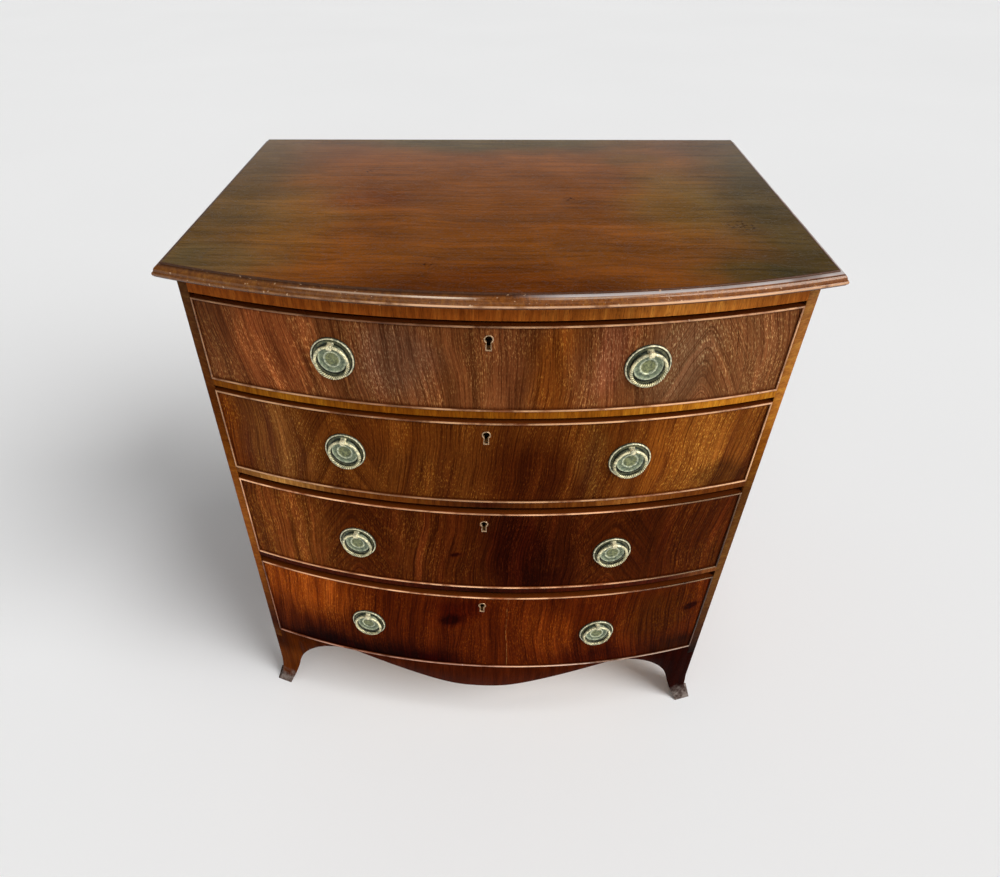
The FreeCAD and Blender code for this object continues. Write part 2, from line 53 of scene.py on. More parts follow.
BOARD_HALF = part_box("top_board")[1].x
BOARD_OFFSET = BOW_AXIS_Y - BOW_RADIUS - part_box("top_board")[0].y
DRAWERS = (1, 2, 3, 4)
PULL_X = 0.199
PULL_RISES = ((0.0030, 0.0010), (0.0035, 0.0010), (-0.0035, -0.0065), (-0.0025, -0.0055))
KEY_DROPS = (0.019, 0.021, 0.023, 0.023)
PLATE_RADIUS = 0.030
RING_RADIUS = 0.0225
RING_DROP = 0.0035
RING_STAND = 0.0066
RING_HALF_BAR = 0.0025
POST_HALF = 0.0038
BEAD_WIDTH = 0.0026
BEAD_DEPTH = 0.008
BEAD_PROUD = 0.003
KEYHOLE_RADIUS = 0.0062
KEYHOLE_LENGTH = 0.016
KEYHOLE_WALL = 0.0017
KEYHOLE_PROUD = 0.0006
KEYHOLE_DEPTH = 0.004
KEYHOLE_EASE = 0.0004
BACK_BOARDS = 3
MM = 0.001
# Half widths of a keyhole's foot and neck, as shares of its radius.
KEYHOLE_FOOT = 0.68
KEYHOLE_NECK = 0.55
# Spans of the curved meshes along the bow.
MOULDING_SPANS = 96
BEAD_SPANS = 72
# What the brass's colour reads as a radius on the pieces that aren't turned with the plate.
POST_RADIUS = 1.2
LINER_RADIUS = 1.4
LOOSE_RADIUS = 1.6


def bow_y(x):
    """Y of the bowed face at x."""
    return BOW_AXIS_Y - math.sqrt(BOW_RADIUS ** 2 - x * x)


def on_bow(x, z):
    return x, bow_y(x), z


def along_bow(t, half, out, z):
    """Point before the bowed face by out, at t from 0 to 1 between the ends at x = -half and x = half."""
    reach = BOW_RADIUS + out
    angle = math.asin(half / reach) * (2 * t - 1)
    return reach * math.sin(angle), BOW_AXIS_Y - reach * math.cos(angle), z


# Meshes

def added(name, data):
    """A new object in the scene."""
    thing = bpy.data.objects.new(name, data)
    bpy.context.scene.collection.objects.link(thing)
    return thing


def piece(name, vertices, faces, body, nodes, materials, smooth=40):
    """A mesh that stands for CAD nodes and rides on their body. Edges of more than smooth degrees stay sharp."""
    mesh = bpy.data.meshes.new(name)
    mesh.from_pydata(vertices, [], faces)
    mesh.validate()
    outward = bmesh.new()
    outward.from_mesh(mesh)
    bmesh.ops.recalc_face_normals(outward, faces=outward.faces)
    outward.to_mesh(mesh)
    outward.free()
    mesh.shade_smooth()
    mesh.set_sharp_from_angle(angle=math.radians(smooth))
    for material in materials:
        mesh.materials.append(material)
    thing = added(name, mesh)
    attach(thing, body)
    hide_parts(*nodes)
    return thing


def skin(rows, closed=False, caps=False):
    """Vertices and quads through rows of points. Each row is a loop, and the rows may close on each other."""
    count = len(rows[0])
    vertices = [point for row in rows for point in row]
    faces = []
    for r in range(len(rows) if closed else len(rows) - 1):
        a, b = r * count, (r + 1) % len(rows) * count
        for i in range(count):
            j = (i + 1) % count
            faces.append((a + i, a + j, b + j, b + i))
    if caps:
        faces.append(tuple(range(count - 1, -1, -1)))
        last = (len(rows) - 1) * count
        faces.append(tuple(range(last, last + count)))
    return vertices, faces


def joined(parts):
    """One list of vertices and faces from several."""
    vertices, faces = [], []
    for part_vertices, part_faces in parts:
        base = len(vertices)
        vertices += part_vertices
        faces += [tuple(base + i for i in face) for face in part_faces]
    return vertices, faces


def arc(centre, spread, start, end, steps):
    """Points of an elliptical round from one angle to another, in degrees from straight up."""
    angles = [math.radians(start + (end - start) * i / steps) for i in range(steps + 1)]
    return [(centre[0] + spread[0] * math.sin(a), centre[1] + spread[1] * math.cos(a)) for a in angles]


# Edge moulding of the top

def moulding_section():
    """Outwards and upwards steps from the board's upper edge: fillet, quirk, ovolo, lip and underside."""
    fillet = [(0.0, 0.0)] + arc((0.0012, -0.0008), (0.0008, 0.0008), 0, 90, 3) + [(0.0021, -0.0022)]
    ovolo = arc((0.0026, -0.0096), (0.0080, 0.0074), 4, 90, 12)
    lip = arc((0.0110, -0.0124), (0.0020, 0.0026), 0, 180, 10)
    return fillet + ovolo + lip + [(0.0110, -0.0159), (0.0, -0.0159)]


def top_moulding(material):
    """Moulding along the bow and, past its mitres, back along both sides of the top."""
    section = moulding_section()
    bow = [[along_bow(i / MOULDING_SPANS, BOARD_HALF + out, BOARD_OFFSET + out, TOP + up) for out, up in section]
           for i in range(MOULDING_SPANS + 1)]
    left = [(-BOARD_HALF - out, BACK_Y, TOP + up) for out, up in section]
    right = [(BOARD_HALF + out, BACK_Y, TOP + up) for out, up in section]
    vertices, faces = skin([left] + bow + [right], caps=True)
    return piece("moulded_edge", vertices, faces, "carcase", ["top_moulding"],
                 [material], smooth=28)


# Cockbeads

def bead_section():
    """Depth and width steps across a bead, its nose rounded."""
    nose = BEAD_DEPTH + BEAD_PROUD - BEAD_WIDTH / 2
    half = BEAD_WIDTH / 2
    round_nose = [(nose + half * math.sin(math.radians(a)), half - half * math.cos(math.radians(a)))
                  for a in range(0, 181, 20)]
    return [(0.0, 0.0)] + round_nose + [(0.0, BEAD_WIDTH)]


def level_bead(half, z, up):
    """Bead along the bow: z is its outer edge, and up is 1 where its width grows upwards."""
    rows = [[along_bow(i / BEAD_SPANS, half - across, depth - BEAD_DEPTH, z + up * across)
             for depth, across in bead_section()] for i in range(BEAD_SPANS + 1)]
    return skin(rows, caps=True)


def upright_bead(half, z0, z1, side):
    """Bead at one end of a drawer, mitred to the level ones."""
    rows = [[(side * (half - across), bow_y(half) + BEAD_DEPTH - depth, z + up * across)
             for depth, across in bead_section()] for z, up in ((z0, 1), (z1, -1))]
    return skin(rows, caps=True)


def cockbeads(number, material):
    """The four beads round one drawer front."""
    node = f"drawer_{number}_cockbeads"
    low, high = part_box(node)
    half = high.x
    parts = [level_bead(half, low.z, 1), level_bead(half, high.z, -1)]
    parts += [upright_bead(half, low.z, high.z, side) for side in (-1, 1)]
    vertices, faces = joined(parts)
    return piece(f"cockbeads_{number}", vertices, faces, f"drawer_{number}", [node], [material])


# Ring pulls and keyholes, made on the plane y = 0 and then set on the bow

def set_on_bow(vertices, x, z):
    """Turns vertices to face outwards at x on the bow, and carries them to height z."""
    turn = Matrix.Translation((x, bow_y(x), z)) @ Matrix.Rotation(math.asin(x / BOW_RADIUS), 4, "Z")
    return [tuple(turn @ Vector(vertex)) for vertex in vertices]


def turned(profile, steps=96):
    """Surface of revolution about Y from points of radius and height before the face."""
    angles = [2 * math.pi * i / steps for i in range(steps)]
    rows = [[(radius * math.sin(a), -stand, radius * math.cos(a)) for a in angles] for radius, stand in profile]
    return skin(rows, caps=True)


def plate_profile():
    """Rim, sunk channel, boss with a raised edge, and a raised ring round its flat middle."""
    outer = [(30.0, 0.0), (30.0, 1.0), (29.8, 1.6), (29.3, 2.4), (28.7, 2.95), (27.9, 2.9), (27.4, 2.3),
             (27.0, 1.6), (26.3, 1.15), (24.8, 1.1), (20.9, 1.1), (20.3, 1.5), (20.0, 2.4)]
    boss = [(19.6, 3.2), (18.9, 3.6), (18.1, 3.5), (17.4, 3.05), (15.5, 2.85), (12.6, 2.9)]
    middle = [(12.0, 3.2), (11.5, 3.6), (10.8, 3.7), (10.0, 3.5), (9.6, 3.0), (8.9, 2.75), (4.1, 2.8), (0.05, 2.85)]
    return [(radius * MM, stand * MM) for radius, stand in outer + boss + middle]


def post():
    """Squared post with softened corners that carries the ring's pin."""
    around, squareness = 24, 5
    rows = []
    for stand, size in ((1.0, 1.2), (2.4, 1.04), (3.0, 1.0), (8.8, 1.0), (9.3, 0.94), (9.6, 0.8)):
        row = []
        for i in range(around):
            angle = 2 * math.pi * i / around
            across, up = math.cos(angle), math.sin(angle)
            square = (abs(across) ** squareness + abs(up) ** squareness) ** (-1 / squareness)
            half = POST_HALF * size * square
            row.append((half * across, -stand * MM, half * up + RING_RADIUS - RING_DROP))
        rows.append(row)
    return skin(rows, caps=True)


def keyhole_loop(inset, steps=28):
    """Keyhole outline in x and z from its pin's centre, drawn inwards by inset."""
    radius = KEYHOLE_RADIUS - inset
    foot = KEYHOLE_RADIUS * KEYHOLE_FOOT - inset
    neck = math.pi - math.asin(KEYHOLE_NECK)
    points = [(foot, inset - KEYHOLE_LENGTH), (-foot, inset - KEYHOLE_LENGTH)]
    for i in range(steps + 1):
        turn = neck * (2 * i / steps - 1)
        points.append((radius * math.sin(turn), radius * math.cos(turn)))
    return points


def keyhole_liner(z):
    """Brass edge of a keyhole at height z, with eased corners. Stages are inset and depth behind the face."""
    y = bow_y(0)
    shoulder = KEYHOLE_EASE - KEYHOLE_PROUD
    stages = ((0.0, KEYHOLE_DEPTH), (0.0, shoulder), (KEYHOLE_EASE, -KEYHOLE_PROUD),
              (KEYHOLE_WALL - KEYHOLE_EASE, -KEYHOLE_PROUD), (KEYHOLE_WALL, shoulder), (KEYHOLE_WALL, KEYHOLE_DEPTH))
    rows = [[(x, y + depth, z + up) for x, up in keyhole_loop(inset)] for inset, depth in stages]
    return skin(rows, closed=True)


def ring_bar(turn):
    """Half thickness of the ring's bar and the depth of its rope pattern, at an angle from the top."""
    low = 0.5 - 0.5 * math.cos(turn)
    rope = min(1.0, max(0.0, (low - 0.30) / 0.25))
    return RING_HALF_BAR * (0.76 + 0.22 * low), rope


def ring_and_pin():
    """Ring handle, rope-twisted below and open where the post stands, with its pin and collars."""
    steps, around, twists = 300, 20, 46
    gap, rope_depth = 0.0003, 0.20
    first = math.asin((POST_HALF + gap) / (RING_RADIUS - RING_HALF_BAR))
    rows, grooves = [], []
    for i in range(steps + 1):
        turn = first + (2 * math.pi - 2 * first) * i / steps
        half, rope = ring_bar(turn)
        row = []
        for j in range(around):
            angle = 2 * math.pi * j / around
            wave = 0.5 + 0.5 * math.cos(twists * turn + 2 * angle)
            thick = half * (1 - rope_depth * rope * (1 - wave))
            out = RING_RADIUS + thick * math.cos(angle)
            row.append((out * math.sin(turn), -RING_STAND - thick * math.sin(angle),
                        out * math.cos(turn) - RING_DROP))
            grooves.append(rope * (1 - wave))
        rows.append(row)
    ring = skin(rows, caps=True)
    pin_rows = []
    collar = [(3.95, 1.3), (4.1, 1.9), (5.0, 1.7), (5.6, 1.1)]
    for x, radius in [(-x, radius) for x, radius in reversed(collar)] + collar:
        pin_rows.append([(x * MM, radius * MM * math.cos(math.radians(a)) - RING_STAND,
                          radius * MM * math.sin(math.radians(a)) + RING_RADIUS - RING_DROP)
                         for a in range(0, 360, 30)])
    pin = skin(pin_rows, caps=True)
    vertices, faces = joined([ring, pin])
    return vertices, faces, grooves + [0.0] * len(pin[0])


def label(thing, name, values):
    """Stores one number for each vertex, for a material to read."""
    thing.data.attributes.new(name, "FLOAT", "POINT").data.foreach_set("value", values)


def pull_places(number):
    """X and height of a drawer's left and right plates."""
    low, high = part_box(f"drawer_{number}_cockbeads")
    return [(x, (low.z + high.z) / 2 + rise) for x, rise in zip((-PULL_X, PULL_X), PULL_RISES[number - 1])]


def pulls(number, brass, liner_brass):
    """Plates, posts, keyhole liner and rings of one drawer. The plates' colour follows their stored radius."""
    body = f"drawer_{number}"
    key_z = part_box(f"{body}_cockbeads")[1].z - KEY_DROPS[number - 1]
    plate_vertices, plate_faces = turned(plate_profile())
    post_vertices, post_faces = post()
    parts, radii = [], []
    for x, z in pull_places(number):
        parts += [(set_on_bow(plate_vertices, x, z), plate_faces), (set_on_bow(post_vertices, x, z), post_faces)]
        radii += [math.hypot(vertex[0], vertex[2]) / PLATE_RADIUS for vertex in plate_vertices]
        radii += [POST_RADIUS] * len(post_vertices)
    liner = keyhole_liner(key_z)
    parts.append(liner)
    radii += [LINER_RADIUS] * len(liner[0])
    vertices, faces = joined(parts)
    plates = piece(f"plates_{number}", vertices, faces, body, [f"{body}_plates_and_keyhole"],
                   [brass, liner_brass], smooth=50)
    label(plates, "radius", radii)
    for face in list(plates.data.polygons)[-len(liner[1]):]:
        face.material_index = 1
    ring_vertices, ring_faces, grooves = ring_and_pin()
    for side, (x, z) in zip(("left", "right"), pull_places(number)):
        ring = piece(f"ring_{number}_{side}", set_on_bow(ring_vertices, x, z), ring_faces,
                     f"ring_{number}_{side}", [f"{body}_ring_{side}"], [brass], smooth=60)
        label(ring, "radius", [LOOSE_RADIUS] * len(ring_vertices))
        label(ring, "groove", grooves)


# Materials

AMBER = (1.0, 0.55, 0.25, 1.0)
WARM = (1.0, 0.86, 0.72, 1.0)
WHITE = (1.0, 1.0, 1.0, 1.0)
ALONG_X, ALONG_Y, ALONG_Z = 0, 1, 2
PLAIN_GRAIN = (0.018, 0.0035, 0.22)
PINE = {"grain": (0.014, 0.0024, 0.9), "roughness": (0.6, 0.8), "pore": ("5a3a1c", 0.25)}
OAK = {"grain": (0.010, 0.0018, 0.7), "roughness": (0.5, 0.7), "pore": ("5c4020", 0.45), "wander": 0.004}
OAK_TONES = ("94724a", "a98654", "b99766")
VENEER_THICKNESS = 0.0010
# Depths below the top's upper face at which the moulding changes.
FILLET_FOOT = 0.0026
OVOLO_EDGE = 0.0042
LIP_NOSE = 0.0122
LIP_UNDERSIDE = 0.0138


def srgb(code):
    """Linear colour of an sRGB hex code."""
    channels = [int(code[i:i + 2], 16) / 255 for i in (0, 2, 4)]
    return tuple(c / 12.92 if c <= 0.04045 else ((c + 0.055) / 1.055) ** 2.4 for c in channels) + (1.0,)


def opaque(colour):
    """The four numbers of a colour that is given as a hex code, or as three or four numbers."""
    return srgb(colour) if isinstance(colour, str) else tuple(colour)[:3] + (1.0,)


def fill_ramp(ramp, stops):
    """Sets a colour ramp to (position, colour) stops."""
    stops = list(stops)
    while len(ramp.elements) < len(stops):
        ramp.elements.new(0.5)
    for element, (position, colour) in zip(ramp.elements, stops):
        element.position = position
        element.color = opaque(colour)


class Graph:
    """Node graph of one material. Each method adds nodes and returns the socket with their result."""

    def __init__(self, name, specular, metallic=0.0, sheen=AMBER):
        self.material = bpy.data.materials.new(name)
        self.material.use_nodes = True
        self.nodes = self.material.node_tree.nodes
        self.links = self.material.node_tree.links
        self.shader = self.nodes["Principled BSDF"]
        for key, value in (("Specular IOR Level", specular), ("Metallic", metallic), ("Specular Tint", sheen)):
            self.shader.inputs[key].default_value = value
        self.place = self.add("ShaderNodeTexCoord", {}, output="Object")

    def put(self, socket, value):
        """Links value to the socket where it is a socket itself, and otherwise sets it. A text is a hex code."""
        if isinstance(value, bpy.types.NodeSocket):
            self.links.new(value, socket)
        else:
            socket.default_value = srgb(value) if isinstance(value, str) else value

    def add(self, kind, inputs, output=0, **settings):
        node = self.nodes.new(kind)
        for key, value in settings.items():
            setattr(node, key, value)
        for key, value in inputs.items():
            self.put(node.inputs[key], value)
        return node.outputs[output]

    def math(self, operation, a, b=0.0, c=0.0):
        return self.add("ShaderNodeMath", {0: a, 1: b, 2: c}, operation=operation)

    def times(self, value, *factors):
        for factor in factors:
            value = self.math("MULTIPLY", value, factor)
        return value

    def plus(self, a, b):
        return self.math("ADD", a, b)

    def minus(self, a, b):
        return self.math("SUBTRACT", a, b)

    def away(self, value, level):
        """Distance of the value from the level."""
        return self.math("ABSOLUTE", self.minus(value, level))

    def split(self, vector):
        node = self.nodes.new("ShaderNodeSeparateXYZ")
        self.put(node.inputs[0], vector)
        return node.outputs

    def combine(self, x, y, z):
        return self.add("ShaderNodeCombineXYZ", {0: x, 1: y, 2: z})

    def noise(self, scale, detail=2.0, roughness=0.5, place=None, output="Fac"):
        return self.add("ShaderNodeTexNoise", {"Vector": place or self.place, "Scale": scale, "Detail": detail,
                                               "Roughness": roughness}, output=output)

    def streaks(self, place, width, length, seed, along=ALONG_Z, detail=2.0):
        """Noise drawn out along one axis. Width and length are the size of its marks in metres."""
        scale = [1 / width] * 3
        scale[along] = 1 / length
        drawn = self.add("ShaderNodeMapping", {"Vector": place, "Location": (7.1 * seed, 3.3 * seed, 5.7 * seed),
                                               "Scale": scale})
        return self.noise(1.0, detail, place=drawn)

    def wander(self, size, reach, seed):
        """The place pushed about by up to reach metres, smoothly over size metres."""
        moved = self.add("ShaderNodeMapping", {"Vector": self.place, "Location": (seed, 2.3 * seed, 4.1 * seed)})
        push = self.noise(1 / size, place=moved, output="Color")
        push = self.add("ShaderNodeVectorMath", {0: push, 1: (0.5,) * 3}, operation="SUBTRACT")
        push = self.add("ShaderNodeVectorMath", {0: push, 1: (2 * reach,) * 3}, operation="MULTIPLY")
        return self.add("ShaderNodeVectorMath", {0: self.place, 1: push}, operation="ADD")

    def spot(self, place, centre, size, lean=0.0):
        """Soft spot that is 1 at its centre and falls to 0 at size. Lean turns it in the plane of the front."""
        near = self.add("ShaderNodeMapping", {"Vector": place, "Location": centre, "Rotation": (0, lean, 0),
                                              "Scale": size}, vector_type="TEXTURE")
        return self.add("ShaderNodeTexGradient", {"Vector": near}, output="Fac", gradient_type="QUADRATIC_SPHERE")

    def step(self, value, low, high, start=0.0, end=1.0):
        """Smooth rise from start to end as the value goes from low to high."""
        return self.add("ShaderNodeMapRange", {0: value, 1: low, 2: high, 3: start, 4: end},
                        interpolation_type="SMOOTHSTEP")

    def band(self, value, level, outer, inner):
        """1 within inner of the level, and 0 beyond outer."""
        return self.step(self.away(value, level), outer, inner)

    def between(self, value, rise, fall):
        """Rises and falls again, each over its own pair of values."""
        return self.times(self.step(value, *rise), self.step(value, *fall))

    def ramp(self, factor, stops):
        """Colour along a row of (position, colour) stops."""
        node = self.nodes.new("ShaderNodeValToRGB")
        self.put(node.inputs[0], factor)
        fill_ramp(node.color_ramp, stops)
        return node.outputs[0]

    def mix(self, factor, a, b, blend="MIX"):
        return self.add("ShaderNodeMix", {0: factor, 6: a, 7: b}, output=2, data_type="RGBA", blend_type=blend)

    def tint(self, colour, shade):
        return self.mix(1.0, colour, shade, "MULTIPLY")

    def blend(self, factor, a, b):
        """A where the factor is 0, and b where it is 1."""
        return self.math("MULTIPLY_ADD", factor, self.minus(b, a), a)

    def gain(self, factor, colour, amount):
        """Colour times amount where factor is 1."""
        return self.mix(factor, colour, self.tint(colour, opaque(amount)))

    def patch(self, place, colour, centre, size, amount, lean=0.0):
        """Colour times amount over a broad spot with a soft edge."""
        return self.gain(self.step(self.spot(place, centre, size, lean), 0.0, 0.6), colour, amount)

    def finish(self, colour, roughness, height, depth):
        """Wires the shader. Depth is the bump's height in metres."""
        self.put(self.shader.inputs["Base Color"], colour)
        self.put(self.shader.inputs["Roughness"], roughness)
        bump = self.add("ShaderNodeBump", {"Height": height, "Distance": depth, "Strength": 1.0})
        self.put(self.shader.inputs["Normal"], bump)
        return self.material


def grained(g, place, along, seed, tones, grain=PLAIN_GRAIN):
    """Bands and fine lines of plain timber in its dark, middle and light tones, and the height of its grain.

    Grain is the width of its bands, the width of its lines and the length of its bands.
    """
    band, line, reach = grain
    bands = g.streaks(place, band, reach, seed, along, detail=3.0)
    colour = g.ramp(bands, zip((0.32, 0.50, 0.68), tones))
    lines = g.streaks(place, line, reach / 3, seed + 3, along, detail=3.0)
    shade = g.ramp(lines, ((0.30, (0.72, 0.70, 0.68)), (0.50, WHITE), (0.70, (1.22, 1.2, 1.16))))
    return g.tint(colour, shade), lines


def pores(g, place, along, seed, width=0.0009, length=0.009, amount=0.60, soft=0.10):
    """Mask of short dashes along the grain."""
    dashes = g.streaks(place, width, length, seed, along, detail=1.0)
    return g.step(dashes, amount, amount + soft)


def timber(name, along, seed, tones, grain=PLAIN_GRAIN, specular=0.02, roughness=(0.30, 0.46),
           pore=("2a1206", 0.5), wander=0.012, sheen=AMBER):
    """Plain polished or bare wood with its grain along one axis. Returns the graph, its colour and its height.

    Pore is the colour and strength of the pores, and wander how far the grain strays.
    """
    g = Graph(name, specular, sheen=sheen)
    place = g.wander(0.16, wander, seed)
    colour, lines = grained(g, place, along, seed, tones, grain)
    dashes = pores(g, place, along, seed + 5)
    colour = g.mix(g.times(dashes, pore[1]), colour, pore[0])
    clouds = g.noise(9.0, 3.0)
    colour = g.tint(colour, g.ramp(clouds, ((0.3, (0.82, 0.80, 0.78)), (0.7, (1.16, 1.17, 1.18)))))
    g.rough = g.step(g.noise(24.0, 4.0), 0.3, 0.7, *roughness)
    return g, colour, g.minus(g.times(lines, 0.5), dashes)


def bare(name, along, seed, tones, options):
    """Unpolished boards of the inside."""
    g, colour, height = timber(name, along, seed, tones, **options)
    return g.finish(colour, g.rough, height, 0.0001)


def back_pine():
    """Pine of the back, with a dark open joint between its boards and a tone for each board."""
    g, colour, height = timber("back_pine", ALONG_X, 83.0, ("86643c", "a27a4c", "b48c5a"), wander=0.006, **PINE)
    z = g.split(g.place)[2]
    low, high = (corner.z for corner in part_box("back_boards"))
    for number, tone in ((1, (0.84, 0.80, 0.76)), (2, (1.22, 1.26, 1.30))):
        joint = low + (high - low) * number / BACK_BOARDS
        colour = g.gain(g.step(z, joint - 0.0002, joint + 0.0002), colour, tone)
        gap = g.band(z, joint, 0.0016, 0.0008)
        colour = g.gain(gap, colour, (0.12, 0.10, 0.09))
        height = g.minus(height, g.times(gap, 6.0))
    smoky = g.step(g.noise(3.2, 3.0), 0.42, 0.66)
    return g.finish(g.gain(smoky, colour, (0.72, 0.68, 0.64)), g.rough, height, 0.0001)


def behind_bow(g):
    """How far a place lies behind the bowed face, in metres."""
    x, y, _ = g.split(g.place)
    back = g.minus(y, BOW_AXIS_Y)
    return g.minus(BOW_RADIUS, g.math("SQRT", g.plus(g.times(x, x), g.times(back, back))))


def behind_veneer(g, colour, seed, tones):
    """Colour on the veneer, and bare wood behind it."""
    core, _ = grained(g, g.place, ALONG_X, seed, tones)
    return g.mix(g.step(behind_bow(g), VENEER_THICKNESS, VENEER_THICKNESS + 0.0001), colour, core)


def crossbanding():
    """Cross-grained facing on the bowed face of the pine rails.

    Tones are (height, gain) steps up the chest, darker lower down: partly the facing's own tone and partly painted
    shade. Patches are x, height, half width and gain; they paint highlights, sheen and shade as colour.
    """
    g, colour, height = timber("crossbanding", ALONG_Z, 101.0, ("5c3008", "6a3a0c", "784812"),
                               (0.007, 0.0016, 0.06), roughness=(0.28, 0.42), wander=0.003)
    tones = ((0.371, (0.30, 0.10, 0.10)), (0.560, (0.90, 0.75, 0.90)), (0.720, (1.35, 1.25, 0.70)),
             (0.870, (1.75, 1.40, 2.00)))
    patches = ((0.00, 0.371, 0.16, (0.2, 0.1, 0.1)), (0.38, 0.371, 0.10, (4.0, 12.0, 30.0)),
               (-0.31, 0.560, 0.13, (3.6, 6.5, 14.0)), (0.00, 0.560, 0.15, (0.25, 0.13, 0.4)),
               (0.21, 0.560, 0.09, (1.8, 2.4, 4.0)), (0.40, 0.560, 0.08, (0.42, 0.34, 0.40)),
               (0.32, 0.720, 0.28, (2.4, 3.2, 5.0)), (-0.27, 0.720, 0.12, (1.9, 2.4, 2.6)),
               (0.24, 0.870, 0.26, (1.9, 2.8, 3.4)))
    # Darker lower down the chest: partly the facing's own tone and partly painted shade.
    rise = g.math("DIVIDE", g.split(g.place)[2], TOP)
    colour = g.tint(colour, g.ramp(rise, ((level / TOP, tone) for level, tone in tones)))
    # The patches paint highlights, bluish sheen and shade as colour onto the rails.
    for x, z, wide, amount in patches:
        colour = g.gain(g.spot(g.place, on_bow(x, z), (wide, 1.0, 0.06)), colour, amount)
    colour = behind_veneer(g, colour, 105.0, ("8a6238", "a87c4a", "c0945c"))
    return g.finish(colour, g.rough, height, 0.00008)


def leaning_sheet(g, middle_z, seed, lean, knots, joint):
    """X, height above the middle, a place whose grain runs upright, and the line of the joint of two leaves.

    The grain leans a little, parts round the knots, and starts afresh past the joint.
    """
    x, _, z = g.split(g.wander(0.12, 0.010, seed))
    rise = g.minus(z, middle_z)
    slope = g.times(g.minus(g.noise(2.6, 1.0), 0.5 - lean), 0.9)
    across = g.plus(x, g.times(rise, slope))
    for centre, up, size, pull in knots:
        near = g.spot(g.place, on_bow(centre, middle_z + up), (size, 1.0, size * 1.5))
        across = g.minus(across, g.times(g.minus(x, centre), near, pull))
    seam = 0.0
    if joint:
        start, slant, jump = joint
        past = g.minus(x, g.math("MULTIPLY_ADD", rise, slant, start))
        across = g.plus(across, g.times(g.step(past, -0.0004, 0.0004), jump))
        seam = g.step(g.math("ABSOLUTE", past), 0.0009, 0.0003)
    return x, rise, g.combine(across, 0.0, z), seam


def flames(g, x, rise, sheet, arches, seed):
    """Broad bands and fine lines of the figure, drawn out upwards and bent over into flames at each arch."""
    bands = g.streaks(sheet, 0.020, 0.30, seed, detail=5.0)
    lines = g.streaks(sheet, 0.0020, 0.09, seed + 2, detail=4.0)
    for centre, width, steep in arches:
        off = g.minus(x, centre)
        half = g.math("SQRT", g.plus(g.times(off, off), 0.00003))
        bent = g.combine(g.plus(half, g.times(rise, steep)), 0.5, g.times(rise, 0.3))
        inside = g.step(half, width, width * 0.3)
        bands = g.blend(inside, bands, g.streaks(bent, 0.016, 0.30, seed + 20, detail=5.0))
        lines = g.blend(inside, lines, g.streaks(bent, 0.0020, 0.09, seed + 22, detail=4.0))
    return bands, lines


def hearts(g, colour, middle_z, seed, knots):
    """Dark heart of each knot, with a redder rim."""
    place = g.wander(0.012, 0.005, seed)
    slant = -0.3
    for centre, up, size, _ in knots:
        middle = on_bow(centre, middle_z + up)
        rim = g.spot(place, middle, (size * 1.10, 1.0, size * 0.60), slant)
        colour = g.gain(rim, colour, (1.7, 1.25, 1.1))
        colour = g.patch(place, colour, middle, (size * 0.95, 1.0, size * 0.55), (0.18, 0.10, 0.10), slant)
    return colour


def front_edges(g, colour, low, high, seed):
    """Dirt and painted shade by the beads, bare wood behind the veneer, and an upper edge darkened by grime and
    painted shade of the gap above it.
    """
    x, _, z = g.split(g.place)
    inside_x = g.minus(high.x, g.math("ABSOLUTE", x))
    inside_z = g.minus((high.z - low.z) / 2, g.away(z, (low.z + high.z) / 2))
    inside = g.math("MINIMUM", inside_x, inside_z)
    # Darker within a bead's width of the beads: dirt and painted shade.
    colour = g.gain(g.step(inside, 0.0080, BEAD_WIDTH), colour, (0.60, 0.52, 0.46))
    colour = behind_veneer(g, colour, seed + 8, ("8f6a3c", "ad8350", "c49a66"))
    # The top face, seen down the gap under the rail, is painted dark: grime and painted shade.
    return g.mix(g.step(z, high.z - 0.0006, high.z - 0.0003), colour, "3c1805")


